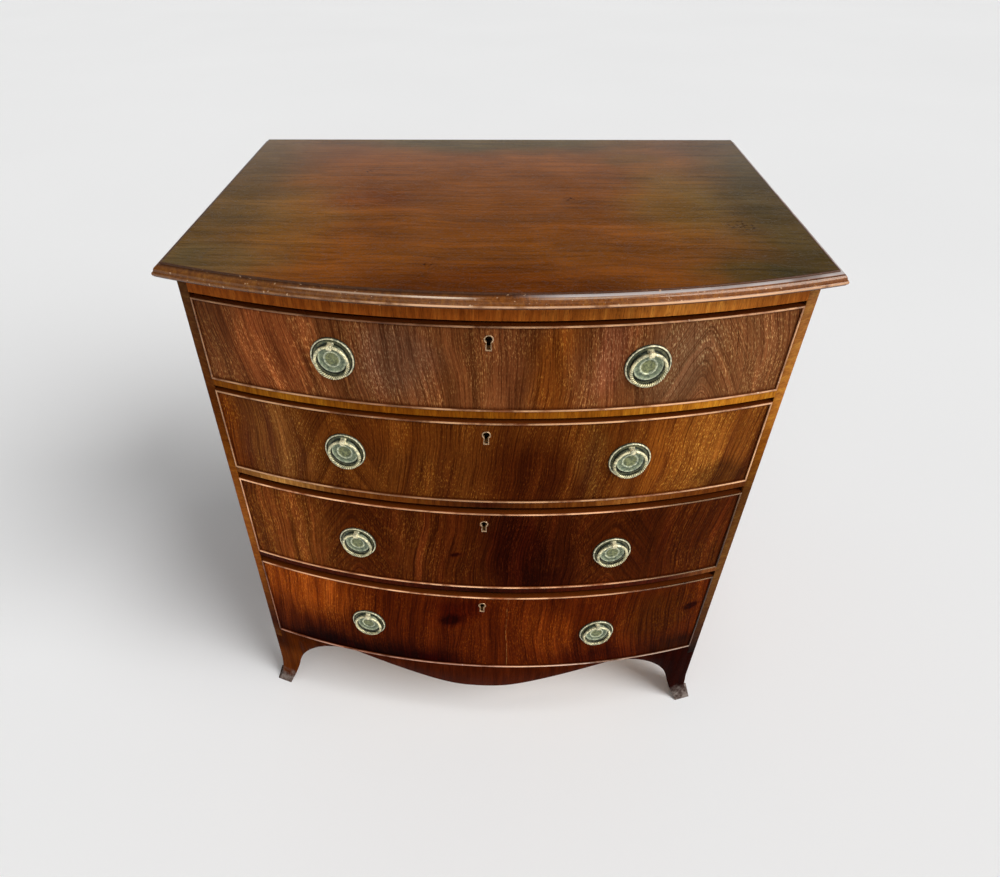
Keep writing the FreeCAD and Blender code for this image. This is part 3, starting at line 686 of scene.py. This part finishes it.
def figured(number, seed, tones, flecks, specular, patches, lean=0.0, arches=(), knots=(), joint=None):
    """Figured veneer of one drawer front. Tones run from the dark bands to the light ones.

    Heights are above the middle of the front. Patches are x, height, half sizes, gain and, where they lean, a
    slant; besides tone of the veneer they paint highlights, sheen and shade as colour. Arches are x, width and
    steepness. Knots are x, height, size and push on the grain. A joint is its x, its slant and the jump of the
    grain past it. Flecks is how much the golden dashes gain in streaks.
    """
    low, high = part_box(f"drawer_{number}_cockbeads")
    middle_z = (low.z + high.z) / 2
    g = Graph(f"figured_veneer_{number}", specular)
    x, rise, sheet, seam = leaning_sheet(g, middle_z, seed, lean, knots, joint)
    bands, lines = flames(g, x, rise, sheet, arches, seed)
    colour = g.ramp(bands, zip((0.28, 0.50, 0.74), tones))
    colour = g.tint(colour, g.ramp(lines, ((0.36, (0.58, 0.50, 0.46)), (0.50, WHITE), (0.64, (1.24, 1.22, 1.18)))))
    place = g.wander(0.05, 0.02, seed + 9)
    # The patches paint highlights, sheen and shade as colour, along with the veneer's own tone.
    for centre, up, wide, tall, amount, *slant in patches:
        colour = g.patch(place, colour, on_bow(centre, middle_z + up), (wide, 1.0, tall), amount, *slant)
    threads = g.step(g.streaks(sheet, 0.0016, 0.16, seed + 11), 0.58, 0.68)
    colour = g.gain(threads, colour, (0.56, 0.46, 0.42))
    dark_pores = pores(g, sheet, ALONG_Z, seed + 4, 0.0008, 0.012)
    colour = g.gain(dark_pores, colour, (0.55, 0.5, 0.5))
    cloud = g.step(g.streaks(sheet, 0.03, 0.09, seed + 6), 0.40, 0.62)
    dashes = pores(g, sheet, ALONG_Z, seed + 5, 0.0011, 0.0060, 0.575, 0.05)
    dashes = g.times(dashes, g.math("MULTIPLY_ADD", cloud, flecks, 0.18))
    colour = g.gain(dashes, colour, (2.9, 4.6, 5.2))
    broken = g.step(g.noise(70.0, 3.0), 0.42, 0.60)
    colour = g.mix(g.times(seam, broken, 0.55), colour, "9c6a38")
    colour = hearts(g, colour, middle_z, seed, knots)
    colour = front_edges(g, colour, low, high, seed)
    height = g.minus(g.times(lines, 0.35), g.times(dark_pores, 0.8))
    rough = g.step(g.noise(18.0, 5.0), 0.3, 0.7, 0.24, 0.40)
    return g.finish(colour, rough, height, 0.00008)


def drawer_veneers():
    """Veneer of each drawer front, from the top one down. The lower fronts take darker tones: partly the veneers'
    own and partly painted shade of the light falling off down the chest.
    """
    first = figured(1, 1.7, ("4c260f", "66381a", "7c4422"), lean=0.12, flecks=0.52, specular=0.03,
                    arches=[(0.275, 0.09, 0.5)], joint=(-0.184, 0.0, 0.0), patches=[
        (-0.285, 0.0, 0.115, 0.20, (1.9, 1.65, 1.6)), (-0.120, 0.01, 0.110, 0.12, (0.90, 1.12, 1.85), 0.5),
        (0.020, 0.0, 0.050, 0.20, (1.35, 1.35, 1.5)), (0.235, 0.0, 0.095, 0.18, (1.0, 1.25, 1.7)),
        (0.080, -0.01, 0.060, 0.20, (1.15, 0.95, 0.45)), (0.150, 0.02, 0.050, 0.12, (1.3, 1.3, 1.9)),
        (0.310, 0.0, 0.170, 0.20, (1.2, 1.4, 1.7))])
    second = figured(2, 5.3, ("421a06", "582a09", "6c3810"), lean=-0.06, flecks=0.46, specular=0.015,
                     arches=[(-0.210, 0.08, 0.5)], patches=[
        (-0.310, 0.0, 0.100, 0.20, (1.7, 2.2, 3.6)), (-0.385, 0.0, 0.060, 0.20, (1.5, 1.3, 0.8)),
        (-0.140, 0.04, 0.120, 0.06, (1.15, 1.1, 1.0)), (0.060, -0.03, 0.150, 0.18, (0.50, 0.34, 0.30)),
        (0.145, 0.0, 0.035, 0.15, (1.25, 1.6, 2.0)), (0.300, 0.01, 0.120, 0.22, (2.1, 2.5, 2.6)),
        (0.235, 0.0, 0.050, 0.20, (1.5, 1.5, 1.3)), (0.340, -0.05, 0.100, 0.05, (0.5, 0.5, 0.55))])
    third = figured(3, 9.1, ("300e02", "441a04", "582208"), flecks=0.46, specular=0.008,
                    arches=[(-0.200, 0.08, 0.6), (0.200, 0.08, 0.6)], knots=[(-0.044, -0.01, 0.020, 0.6)], patches=[
        (-0.320, -0.01, 0.170, 0.24, (2.7, 3.8, 4.6)), (-0.110, 0.0, 0.070, 0.20, (1.4, 1.6, 1.8)),
        (0.050, 0.0, 0.120, 0.22, (0.42, 0.24, 0.28)), (0.240, 0.0, 0.150, 0.20, (0.68, 0.60, 0.50)),
        (0.120, 0.0, 0.090, 0.22, (0.72, 0.62, 0.60)), (0.100, -0.07, 0.110, 0.07, (0.60, 0.45, 0.45)),
        (0.360, -0.05, 0.060, 0.08, (0.95, 1.05, 0.9))])
    fourth = figured(4, 13.9, ("360c01", "4a1702", "5e2205"), flecks=0.34, specular=0.006,
                     knots=[(-0.053, 0.03, 0.055, 0.7), (0.362, 0.027, 0.035, 0.7)],
                     joint=(0.045, -0.03, 0.37), patches=[
        (-0.310, 0.06, 0.170, 0.14, (3.8, 5.4, 5.6)), (-0.270, -0.10, 0.300, 0.10, (0.12, 0.03, 0.02)),
        (-0.110, -0.10, 0.180, 0.11, (0.22, 0.04, 0.04)), (-0.040, 0.06, 0.100, 0.06, (0.6, 0.35, 0.3)),
        (0.210, -0.09, 0.180, 0.08, (0.55, 0.40, 0.40)), (0.120, 0.0, 0.090, 0.13, (1.7, 2.0, 1.9)),
        (0.310, 0.02, 0.140, 0.16, (0.74, 1.05, 0.75)), (0.360, -0.09, 0.140, 0.09, (0.28, 0.30, 0.16))])
    return dict(zip(DRAWERS, (first, second, third, fourth)))


def top_mahogany():
    """Polished top. Patches are x, y, half sizes and gain, and paint the top's reflected sheen as colour, greyer and
    bluer towards the ends and the back, and darken the front; marks are x, y and size.
    """
    g, colour, height = timber("top_mahogany", ALONG_X, 21.0, ("724013", "7c4514", "884c18"),
                               (0.035, 0.005, 0.5), 0.045, roughness=(0.12, 0.18), wander=0.018)
    place = g.wander(0.10, 0.04, 4.0)
    # Painted reflection: the patches grey and blue the ends and back as the sheen there, and darken the front.
    for x, y, wide, deep, amount in (
            (-0.43, 0.05, 0.27, 0.90, (0.62, 1.06, 2.0)), (0.43, 0.00, 0.27, 0.90, (0.42, 0.86, 2.0)),
            (-0.18, 0.0, 0.12, 0.09, (0.95, 0.85, 0.95)), (0.0, -0.30, 0.40, 0.17, (0.58, 0.46, 0.22)),
            (-0.34, -0.22, 0.17, 0.12, (0.78, 1.12, 2.0)), (0.32, -0.25, 0.16, 0.10, (0.46, 0.75, 1.1)),
            (-0.27, -0.07, 0.14, 0.25, (1.12, 1.38, 1.6)), (0.26, 0.0, 0.15, 0.30, (0.97, 1.40, 1.7)),
            (0.22, 0.20, 0.12, 0.08, (0.72, 0.90, 0.80)), (0.0, BACK_Y, 0.60, 0.16, (0.50, 1.0, 2.0))):
        colour = g.patch(place, colour, (x, y, TOP), (wide, deep, 1.0), amount)
    broken = g.step(g.noise(190.0, 3.0), 0.52, 0.60)
    for x, y, size in ((0.330, -0.090, 0.030), (0.088, 0.041, 0.006), (-0.075, -0.225, 0.014),
                       (0.110, 0.010, 0.016), (-0.200, 0.130, 0.010)):
        speck = g.step(g.spot(g.place, (x, y, TOP), (size, size, 1.0)), 0.0, 0.3)
        colour = g.gain(g.times(speck, broken), colour, (0.35, 0.28, 0.25))
    scratched = g.streaks(g.wander(0.05, 0.004, 2.0), 0.0012, 0.09, 31.0, ALONG_X, 1.0)
    colour = g.gain(g.times(g.step(scratched, 0.70, 0.74), 0.5), colour, (0.45, 0.42, 0.40))
    return g.finish(colour, g.rough, height, 0.00006)


def moulding_mahogany():
    """Edge moulding: fillet and quirk dark from grime and painted shade, a painted highlight along the glossy ovolo,
    a lip pale from wear and painted highlights, painted shade under it, and a painted reflection on the fillet.
    """
    g, colour, height = timber("moulding_mahogany", ALONG_Y, 33.0, ("5c3414", "683c16", "764a1c"),
                               (0.006, 0.0016, 0.08), 0.5, roughness=(0.07, 0.14), wander=0.004, sheen=WARM)
    x, _, z = g.split(g.place)
    below = g.minus(TOP, z)
    colour = g.gain(g.step(x, -0.30, 0.25), colour, (1.35, 1.15, 0.65))
    # A painted glint on the lip near the middle.
    bright = g.band(x, -0.058, 0.055, 0.025)
    # Wear of the lip's nose, joined with painted highlights: the glint near the middle and a stretch on the right.
    wear_and_highlight = g.times(g.step(g.noise(30.0, 4.0, 0.6), 0.30, 0.55),
                   g.math("MULTIPLY_ADD", g.step(x, -0.30, -0.08), 0.7, 0.06))
    wear_and_highlight = g.math("MAXIMUM", wear_and_highlight, g.between(x, (0.12, 0.18), (0.38, 0.32)))
    wear_and_highlight = g.math("MAXIMUM", wear_and_highlight, bright)
    colour = g.mix(g.times(g.band(below, LIP_NOSE, 0.0016, 0.0007), wear_and_highlight), colour, "dcac84")
    # Painted shade under the lip.
    colour = g.gain(g.step(below, LIP_UNDERSIDE, LIP_UNDERSIDE + 0.0008), colour, (0.42, 0.30, 0.22))
    # A painted highlight along the top of the ovolo, brightest at the middle and at two glints.
    ridge = g.band(below, OVOLO_EDGE, 0.0010, 0.0004)
    glints = g.plus(g.between(x, (-0.26, -0.20), (-0.01, -0.05)), g.between(x, (0.03, 0.08), (0.22, 0.12)))
    painted_ridge_glint = g.math("MULTIPLY_ADD", bright, 0.42, g.times(glints, 0.38))
    colour = g.mix(g.times(ridge, painted_ridge_glint), colour, "dcc4ac")
    # Past x 0.3 the ridge is darkened: painted shade.
    colour = g.gain(g.times(ridge, g.step(x, 0.30, 0.40)), colour, (0.50, 0.44, 0.38))
    # The fillet and quirk darkened: grime and painted shade of the recess.
    grime_and_shade = g.step(below, 0.0032, 0.0018)
    colour = g.gain(grime_and_shade, colour, (0.36, 0.30, 0.28))
    # A painted reflection gleams along the foot of the fillet towards the right, broken into patches.
    patchy = g.step(g.noise(18.0, 3.0), 0.30, 0.58, 0.30, 0.78)
    gleam = g.times(g.band(below, FILLET_FOOT, 0.0009, 0.0003), g.step(x, 0.02, 0.10), patchy)
    colour = g.mix(gleam, colour, "cbc4c2")
    nicks = g.step(g.noise(210.0, 2.0), 0.68, 0.73)
    colour = g.mix(g.times(nicks, 0.7), colour, "c8a482")
    return g.finish(colour, g.math("MULTIPLY_ADD", grime_and_shade, 0.30, g.rough), height, 0.00003)


def cockbead_wood():
    """Beads, pale along their noses from wear and painted highlights, lightened and darkened by place as painted
    highlights and shade, and dark on the ledge behind from grime and painted shade.
    """
    g, colour, height = timber("cockbead_wood", ALONG_X, 41.0, ("4e2812", "6c3c1e", "8a5230"),
                               (0.004, 0.001, 0.04), 0.35, roughness=(0.22, 0.34), wander=0.003, sheen=WARM)
    x, _, z = g.split(g.place)
    behind = behind_bow(g)
    nose = g.step(behind, -0.0014, -0.0022)
    # The flat top behind the nose is darker: dirt and painted shade.
    colour = g.gain(g.step(behind, -0.0018, -0.0010), colour, (0.62, 0.48, 0.40))
    swell = g.step(g.noise(5.0, 2.0), 0.34, 0.60, 0.40, 1.0)
    # Pale noses from wear and painted highlights.
    wear_and_highlight = g.times(g.step(g.noise(22.0, 5.0, 0.6), 0.32, 0.58), swell)
    colour = g.mix(g.times(wear_and_highlight, nose), colour, "cc9c72")
    nicks = g.step(g.noise(160.0, 2.0), 0.70, 0.76)
    colour = g.mix(g.times(nicks, nose, 0.6), colour, "e0c4a8")
    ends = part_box("drawer_1_cockbeads")[1].x
    third_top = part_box("drawer_3_cockbeads")[1].z
    lower = g.step(z, third_top + 0.004, third_top + 0.001)
    lowest = g.step(z, 0.20, 0.17)
    upright = g.step(g.math("ABSOLUTE", x), ends - 0.0034, ends - 0.0028)
    # Stretches of bead lightened, darkened or blued by place are painted highlights, sheen and shade; the upright
    # beads of the lower drawers are darkened as painted shade.
    for factors, amount in (
            ((g.step(x, 0.0, 0.3), g.step(z, 0.5, 0.6)), (1.35, 1.35, 1.35)),
            ((g.step(x, 0.08, -0.04), g.step(z, 0.70, 0.80)), (0.66, 0.60, 0.56)),
            ((lower, g.step(x, 0.28, 0.18)), (1.7, 1.7, 1.8)),
            ((lower, g.step(z, 0.19, 0.21), g.step(x, 0.24, 0.32)), (0.30, 0.25, 0.16)),
            ((lowest, g.step(x, 0.10, 0.0)), (0.55, 0.52, 0.66)),
            ((lowest, g.step(x, 0.0, 0.20)), (0.66, 0.80, 1.15)),
            ((upright, g.step(z, 0.55, 0.32)), (0.26, 0.16, 0.12))):
        colour = g.gain(g.times(*factors), colour, amount)
    # The ledge behind the beads, seen down the gap, is painted dark: grime and painted shade under the rail, darkest
    # around the lower middle and to the right.
    ledge = g.gain(g.spot(g.place, on_bow(0.03, 0.26), (0.20, 1.0, 0.16)), "5e2a08", (0.1, 0.08, 0.1))
    ledge = g.gain(g.step(x, 0.10, 0.30), ledge, (0.75, 0.70, 0.75))
    colour = g.mix(g.step(behind, -0.0008, 0.0002), colour, ledge)
    return g.finish(colour, g.rough, g.minus(height, g.times(nicks, 2.0)), 0.00004)


def side_mahogany():
    """Side boards: upright grain on their faces, and a cross-grained facing on the bowed front edge, lightened,
    darkened and blued by height up each stile as painted highlights, sheen and shade.
    """
    g, colour, height = timber("side_mahogany", ALONG_Z, 51.0, ("4a220c", "66340f", "824a1c"),
                               (0.03, 0.004, 0.5), 0.004, roughness=(0.26, 0.40), wander=0.02)
    facing, _ = grained(g, g.place, ALONG_X, 57.0, ("64340f", "6e3c12", "7a4816"), (0.006, 0.0016, 0.08))
    x, _, z = g.split(g.place)
    rise = g.math("DIVIDE", z, TOP)
    # Gains up the left and right stile facings paint light and shade: brighter, bluer bands are painted highlights
    # and sheen, darker ones painted shade.
    left = g.ramp(rise, ((0.15, (0.62, 0.55, 0.15)), (0.20, (0.24, 0.10, 0.02)), (0.36, (1.45, 1.30, 1.2)),
                         (0.52, (1.85, 1.85, 2.2)), (0.66, (1.05, 0.95, 0.7)), (0.76, (0.62, 0.50, 0.5)),
                         (0.93, (0.60, 0.75, 1.8))))
    right = g.ramp(rise, ((0.16, (0.04, 0.03, 0.02)), (0.22, (0.26, 0.24, 0.34)), (0.40, (0.78, 1.00, 1.8)),
                          (0.60, (0.50, 0.58, 0.9)), (0.70, (1.20, 1.20, 0.8)), (0.78, (2.20, 2.70, 3.0)),
                          (0.95, (1.60, 2.20, 4.5))))
    facing = g.tint(facing, g.mix(g.step(x, -0.1, 0.1), left, right))
    colour = g.gain(g.step(z, 0.30, 0.10), colour, (0.70, 0.62, 0.55))
    colour = g.mix(g.step(behind_bow(g), 0.0012, 0.0006), colour, facing)
    return g.finish(colour, g.rough, height, 0.00007)


def base_mahogany():
    """Apron and feet: dark and cross-grained, greyed where the toes have been knocked and mopped."""
    g, colour, height = timber("base_mahogany", ALONG_Z, 61.0, ("320d02", "3c1203", "461805"),
                               (0.012, 0.002, 0.10), 0.006, wander=0.006)
    x, _, z = g.split(g.place)
    returned = g.step(behind_bow(g), 0.003, 0.012)
    faced = g.minus(1.0, returned)
    colour = g.gain(g.math("MAXIMUM", g.step(x, -0.20, -0.36), returned), colour, (2.5, 3.9, 2.4))
    shaded = g.times(g.step(x, -0.20, -0.30), g.step(z, 0.070, 0.120), faced)
    colour = g.gain(shaded, colour, (0.44, 0.36, 0.25))
    colour = g.gain(g.times(g.step(x, 0.24, 0.34), faced), colour, (0.26, 0.14, 0.10))
    scuffed = g.step(g.math("MULTIPLY_ADD", g.noise(60.0, 4.0), 0.046, z), 0.058, 0.026)
    knocked = g.ramp(g.noise(110.0, 4.0, 0.6), ((0.36, "302420"), (0.48, "60544e"), (0.62, "80766f")))
    colour = g.mix(g.times(scuffed, 0.9), colour, knocked)
    return g.finish(colour, g.math("MULTIPLY_ADD", scuffed, 0.3, g.rough), height, 0.00012)


def brasses():
    """Aged brass of plates and rings, coloured by the radius that each vertex stores."""
    g = Graph("aged_brass", specular=0.5, metallic=0.45, sheen=WHITE)
    radius = g.add("ShaderNodeAttribute", {}, output="Fac", attribute_name="radius")
    groove = g.add("ShaderNodeAttribute", {}, output="Fac", attribute_name="groove")
    wobble = g.times(g.minus(g.noise(420.0, 3.0), 0.5), 0.02)
    # By radius: dark in the sunk channel and rope grooves is patina; the dark at the plate's outer edge is painted
    # shadow where the plate meets the front.
    tone = g.ramp(g.plus(g.math("DIVIDE", radius, 2.0), wobble), (
        (0.00, "7e8462"), (0.140, "767a56"), (0.160, "a8ac90"), (0.178, "d8dcc4"), (0.198, "8c9482"),
        (0.215, "707a66"), (0.285, "88927c"), (0.312, "c8ceb8"), (0.330, "6c7058"), (0.345, "14180c"),
        (0.372, "1c2012"), (0.392, "5c5e48"), (0.424, "6a6a52"), (0.438, "14160a"), (0.455, "1c1e10"),
        (0.466, "ece6cc"), (0.486, "dcd6ba"), (0.496, "2c2a18"), (0.56, "f4eacc"), (0.70, "d8caa0"),
        (0.80, "e8dfbc")))
    mottle = g.noise(900.0, 4.0, 0.65)
    blotch = g.noise(240.0, 3.0)
    tone = g.tint(tone, g.ramp(mottle, ((0.36, (0.48, 0.50, 0.44)), (0.60, (1.15, 1.14, 1.08)))))
    tone = g.tint(tone, g.ramp(blotch, ((0.38, (0.56, 0.60, 0.62)), (0.60, (1.34, 1.31, 1.24)))))
    green = g.step(g.noise(150.0, 2.0), 0.54, 0.68)
    tone = g.mix(g.times(green, 0.22), tone, "647a6c")
    tone = g.gain(g.step(groove, 0.35, 0.9), tone, (0.30, 0.27, 0.20))
    return g.finish(tone, g.step(mottle, 0.35, 0.65, 0.54, 0.34), mottle, 0.00010)


def plain_brass(name, tones):
    """Rubbed brass of the keyhole liners and lock cases, in its dark, middle and light tones."""
    g = Graph(name, specular=0.5, metallic=0.8, sheen=WHITE)
    mottle = g.noise(520.0, 4.0, 0.6)
    brushed = g.streaks(g.place, 0.0004, 0.012, 71.0)
    tone = g.ramp(mottle, zip((0.32, 0.50, 0.68), tones))
    tone = g.tint(tone, g.ramp(brushed, ((0.3, (0.8, 0.8, 0.8)), (0.7, (1.1, 1.1, 1.1)))))
    return g.finish(tone, g.step(mottle, 0.3, 0.7, 0.42, 0.24), brushed, 0.00005)


def lock_steel():
    """Brushed steel with patches of rust."""
    g = Graph("lock_steel", specular=0.5, metallic=0.7, sheen=WHITE)
    rust = g.step(g.noise(130.0, 5.0, 0.65), 0.50, 0.66)
    brushed = g.streaks(g.place, 0.0005, 0.02, 77.0, ALONG_X)
    tone = g.mix(rust, g.ramp(brushed, ((0.3, "54524e"), (0.7, "85827c"))), "4a2c18")
    return g.finish(tone, g.math("MULTIPLY_ADD", rust, 0.35, 0.38), brushed, 0.00005)


def floor_paint():
    g = Graph("floor_paint", specular=0.2, sheen=WHITE)
    tone = g.ramp(g.noise(0.6, 2.0), ((0.3, "f2f2f2"), (0.7, "f4f4f4")))
    return g.finish(tone, 0.8, g.noise(40.0, 2.0), 0.0001)


# Stage, light and camera

FLOOR_SIZE = 40.0
FLOOR_STEPS = 8
# Light of the surroundings by the sine of its height: 0 is the horizon and all below it, and 1 straight up.
SKY = ((0.0, 0.70), (0.25, 1.00), (0.272, 0.58), (0.298, 0.15), (0.34, 0.04), (0.75, 0.20), (1.0, 0.28))
WALL_SHADE = 0.80
CAMERA_PLACE = (0.0042, -1.0392, 1.2613)
CAMERA_PITCH, CAMERA_YAW, CAMERA_ROLL = 0.70426, -0.07479, -0.01992
SENSOR_WIDTH = 36.0
FOCAL_LENGTH = 25.418
CAMERA_SHIFT = (0.0519, 0.0360)


def floor():
    across = FLOOR_STEPS + 1
    places = [FLOOR_SIZE * (i / FLOOR_STEPS - 0.5) for i in range(across)]
    vertices = [(x, y, 0.0) for y in places for x in places]
    corners = [j * across + i for j in range(FLOOR_STEPS) for i in range(FLOOR_STEPS)]
    mesh = bpy.data.meshes.new("floor")
    mesh.from_pydata(vertices, [], [(a, a + 1, a + across + 1, a + across) for a in corners])
    mesh.materials.append(floor_paint())
    thing = added("floor", mesh)


def sky():
    """Studio surroundings: light from near the horizon, and a plain pale wall for the camera."""
    world = bpy.data.worlds.new("studio")
    world.use_nodes = True
    bpy.context.scene.world = world
    nodes, links = world.node_tree.nodes, world.node_tree.links
    direction = nodes.new("ShaderNodeTexCoord")
    split = nodes.new("ShaderNodeSeparateXYZ")
    ramp = nodes.new("ShaderNodeValToRGB")
    fill_ramp(ramp.color_ramp, ((position, (level,) * 3) for position, level in SKY))
    links.new(direction.outputs["Generated"], split.inputs[0])
    links.new(split.outputs["Z"], ramp.inputs[0])
    seen = nodes.new("ShaderNodeLightPath")
    wall = nodes.new("ShaderNodeMix")
    wall.data_type = "RGBA"
    links.new(seen.outputs["Is Camera Ray"], wall.inputs[0])
    links.new(ramp.outputs[0], wall.inputs[6])
    wall.inputs[7].default_value = opaque((WALL_SHADE,) * 3)
    links.new(wall.outputs[2], nodes["Background"].inputs["Color"])


def lamp(name, azimuth, elevation, spread, strength):
    """Far soft lamp, as wide as spread in degrees. Azimuth is in degrees to the right of straight in front."""
    data = bpy.data.lights.new(name, "SUN")
    data.angle = math.radians(spread)
    data.energy = strength
    side, up = math.radians(azimuth), math.radians(elevation)
    towards = Vector((math.sin(side) * math.cos(up), -math.cos(side) * math.cos(up), math.sin(up)))
    added(name, data).rotation_euler = towards.to_track_quat("Z", "Y").to_euler()


def lamps():
    lamp("key", 61, 34, 40, 2.85)
    lamp("ceiling_left", -60, 83, 10, 0.12)
    lamp("ceiling_right", 80, 66, 14, 0.25)
    for number, azimuth in enumerate((-30, -8, 14, 36), 1):
        lamp(f"strip_{number}", azimuth, 38, 14, 0.09)


def camera():
    """Camera that looks down at the chest from in front, as the photograph's does."""
    pitch, yaw, roll = CAMERA_PITCH, CAMERA_YAW, CAMERA_ROLL
    forward = Vector((math.sin(yaw) * math.cos(pitch), math.cos(yaw) * math.cos(pitch), -math.sin(pitch)))
    right = Vector((math.cos(yaw), -math.sin(yaw), 0))
    up = right.cross(forward)
    rolled_right = right * math.cos(roll) + up * math.sin(roll)
    rolled_up = up * math.cos(roll) - right * math.sin(roll)
    data = bpy.data.cameras.new("camera")
    data.sensor_width = SENSOR_WIDTH
    data.lens = FOCAL_LENGTH
    data.shift_x, data.shift_y = CAMERA_SHIFT
    thing = added("camera", data)
    turn = Matrix((rolled_right, rolled_up, -forward)).transposed().to_4x4()
    thing.matrix_world = Matrix.Translation(CAMERA_PLACE) @ turn
    bpy.context.scene.camera = thing


# The chest

def dress(node, material, edge):
    """Gives a CAD node its material, and softens its edges by edge metres."""
    thing = bpy.data.objects[node]
    if not thing.material_slots:
        thing.data.materials.append(material)
    for slot in thing.material_slots:
        slot.link = "OBJECT"
        slot.material = material
    if edge:
        weld = thing.modifiers.new("weld", "WELD")
        weld.merge_threshold = 0.00001
        bevel = thing.modifiers.new("bevel", "BEVEL")
        bevel.width = edge
        bevel.segments = 2
        bevel.limit_method = "ANGLE"
        bevel.angle_limit = math.radians(50)
        bevel.harden_normals = True


def dress_carcase():
    pine = bare("pine", ALONG_X, 81.0, ("8a6238", "a87c4a", "b88e58"), PINE)
    runner_pine = bare("runner_pine", ALONG_Y, 85.0, ("7c5832", "9c7244", "ae8450"), PINE)
    side, base, rails = side_mahogany(), base_mahogany(), crossbanding()
    for nodes, material, edge in (
            ("top_board", top_mahogany(), 0.0), ("side_left side_right", side, 0.0006),
            ("back_boards", back_pine(), 0.0008), ("top_rail drawer_blades", rails, 0.0),
            ("dustboards runners_and_kickers", runner_pine, 0.0), ("bottom_board", pine, 0.0),
            ("front_apron foot_front_left foot_front_right foot_back_left foot_back_right", base, 0.0008),
            ("blocks_and_stops", pine, 0.0006)):
        for node in nodes.split():
            dress(node, material, edge)


def dress_drawers():
    lining = bare("drawer_lining", ALONG_Y, 91.0, OAK_TONES, OAK)
    lining_back = bare("drawer_back_lining", ALONG_X, 95.0, OAK_TONES, OAK)
    steel = lock_steel()
    liner_brass = plain_brass("liner_brass", ("7c5c38", "bc9c78", "dcc0a0"))
    lock_brass = plain_brass("lock_brass", ("241808", "3e2c12", "5c4520"))
    bead_wood = cockbead_wood()
    old_brass = brasses()
    veneers = drawer_veneers()
    for number in DRAWERS:
        for part, material, edge in (("front", veneers[number], 0.0), ("sides", lining, 0.0008),
                                     ("back", lining_back, 0.0008), ("bottom", lining, 0.0),
                                     ("lock_case", lock_brass, 0.0003), ("lock_bolt", steel, 0.0004)):
            dress(f"drawer_{number}_{part}", material, edge)
        cockbeads(number, bead_wood)
        pulls(number, old_brass, liner_brass)


def main():
    bpy.context.scene.view_settings.view_transform = "Standard"
    floor()
    sky()
    lamps()
    camera()
    dress_carcase()
    dress_drawers()
    top_moulding(moulding_mahogany())


main()
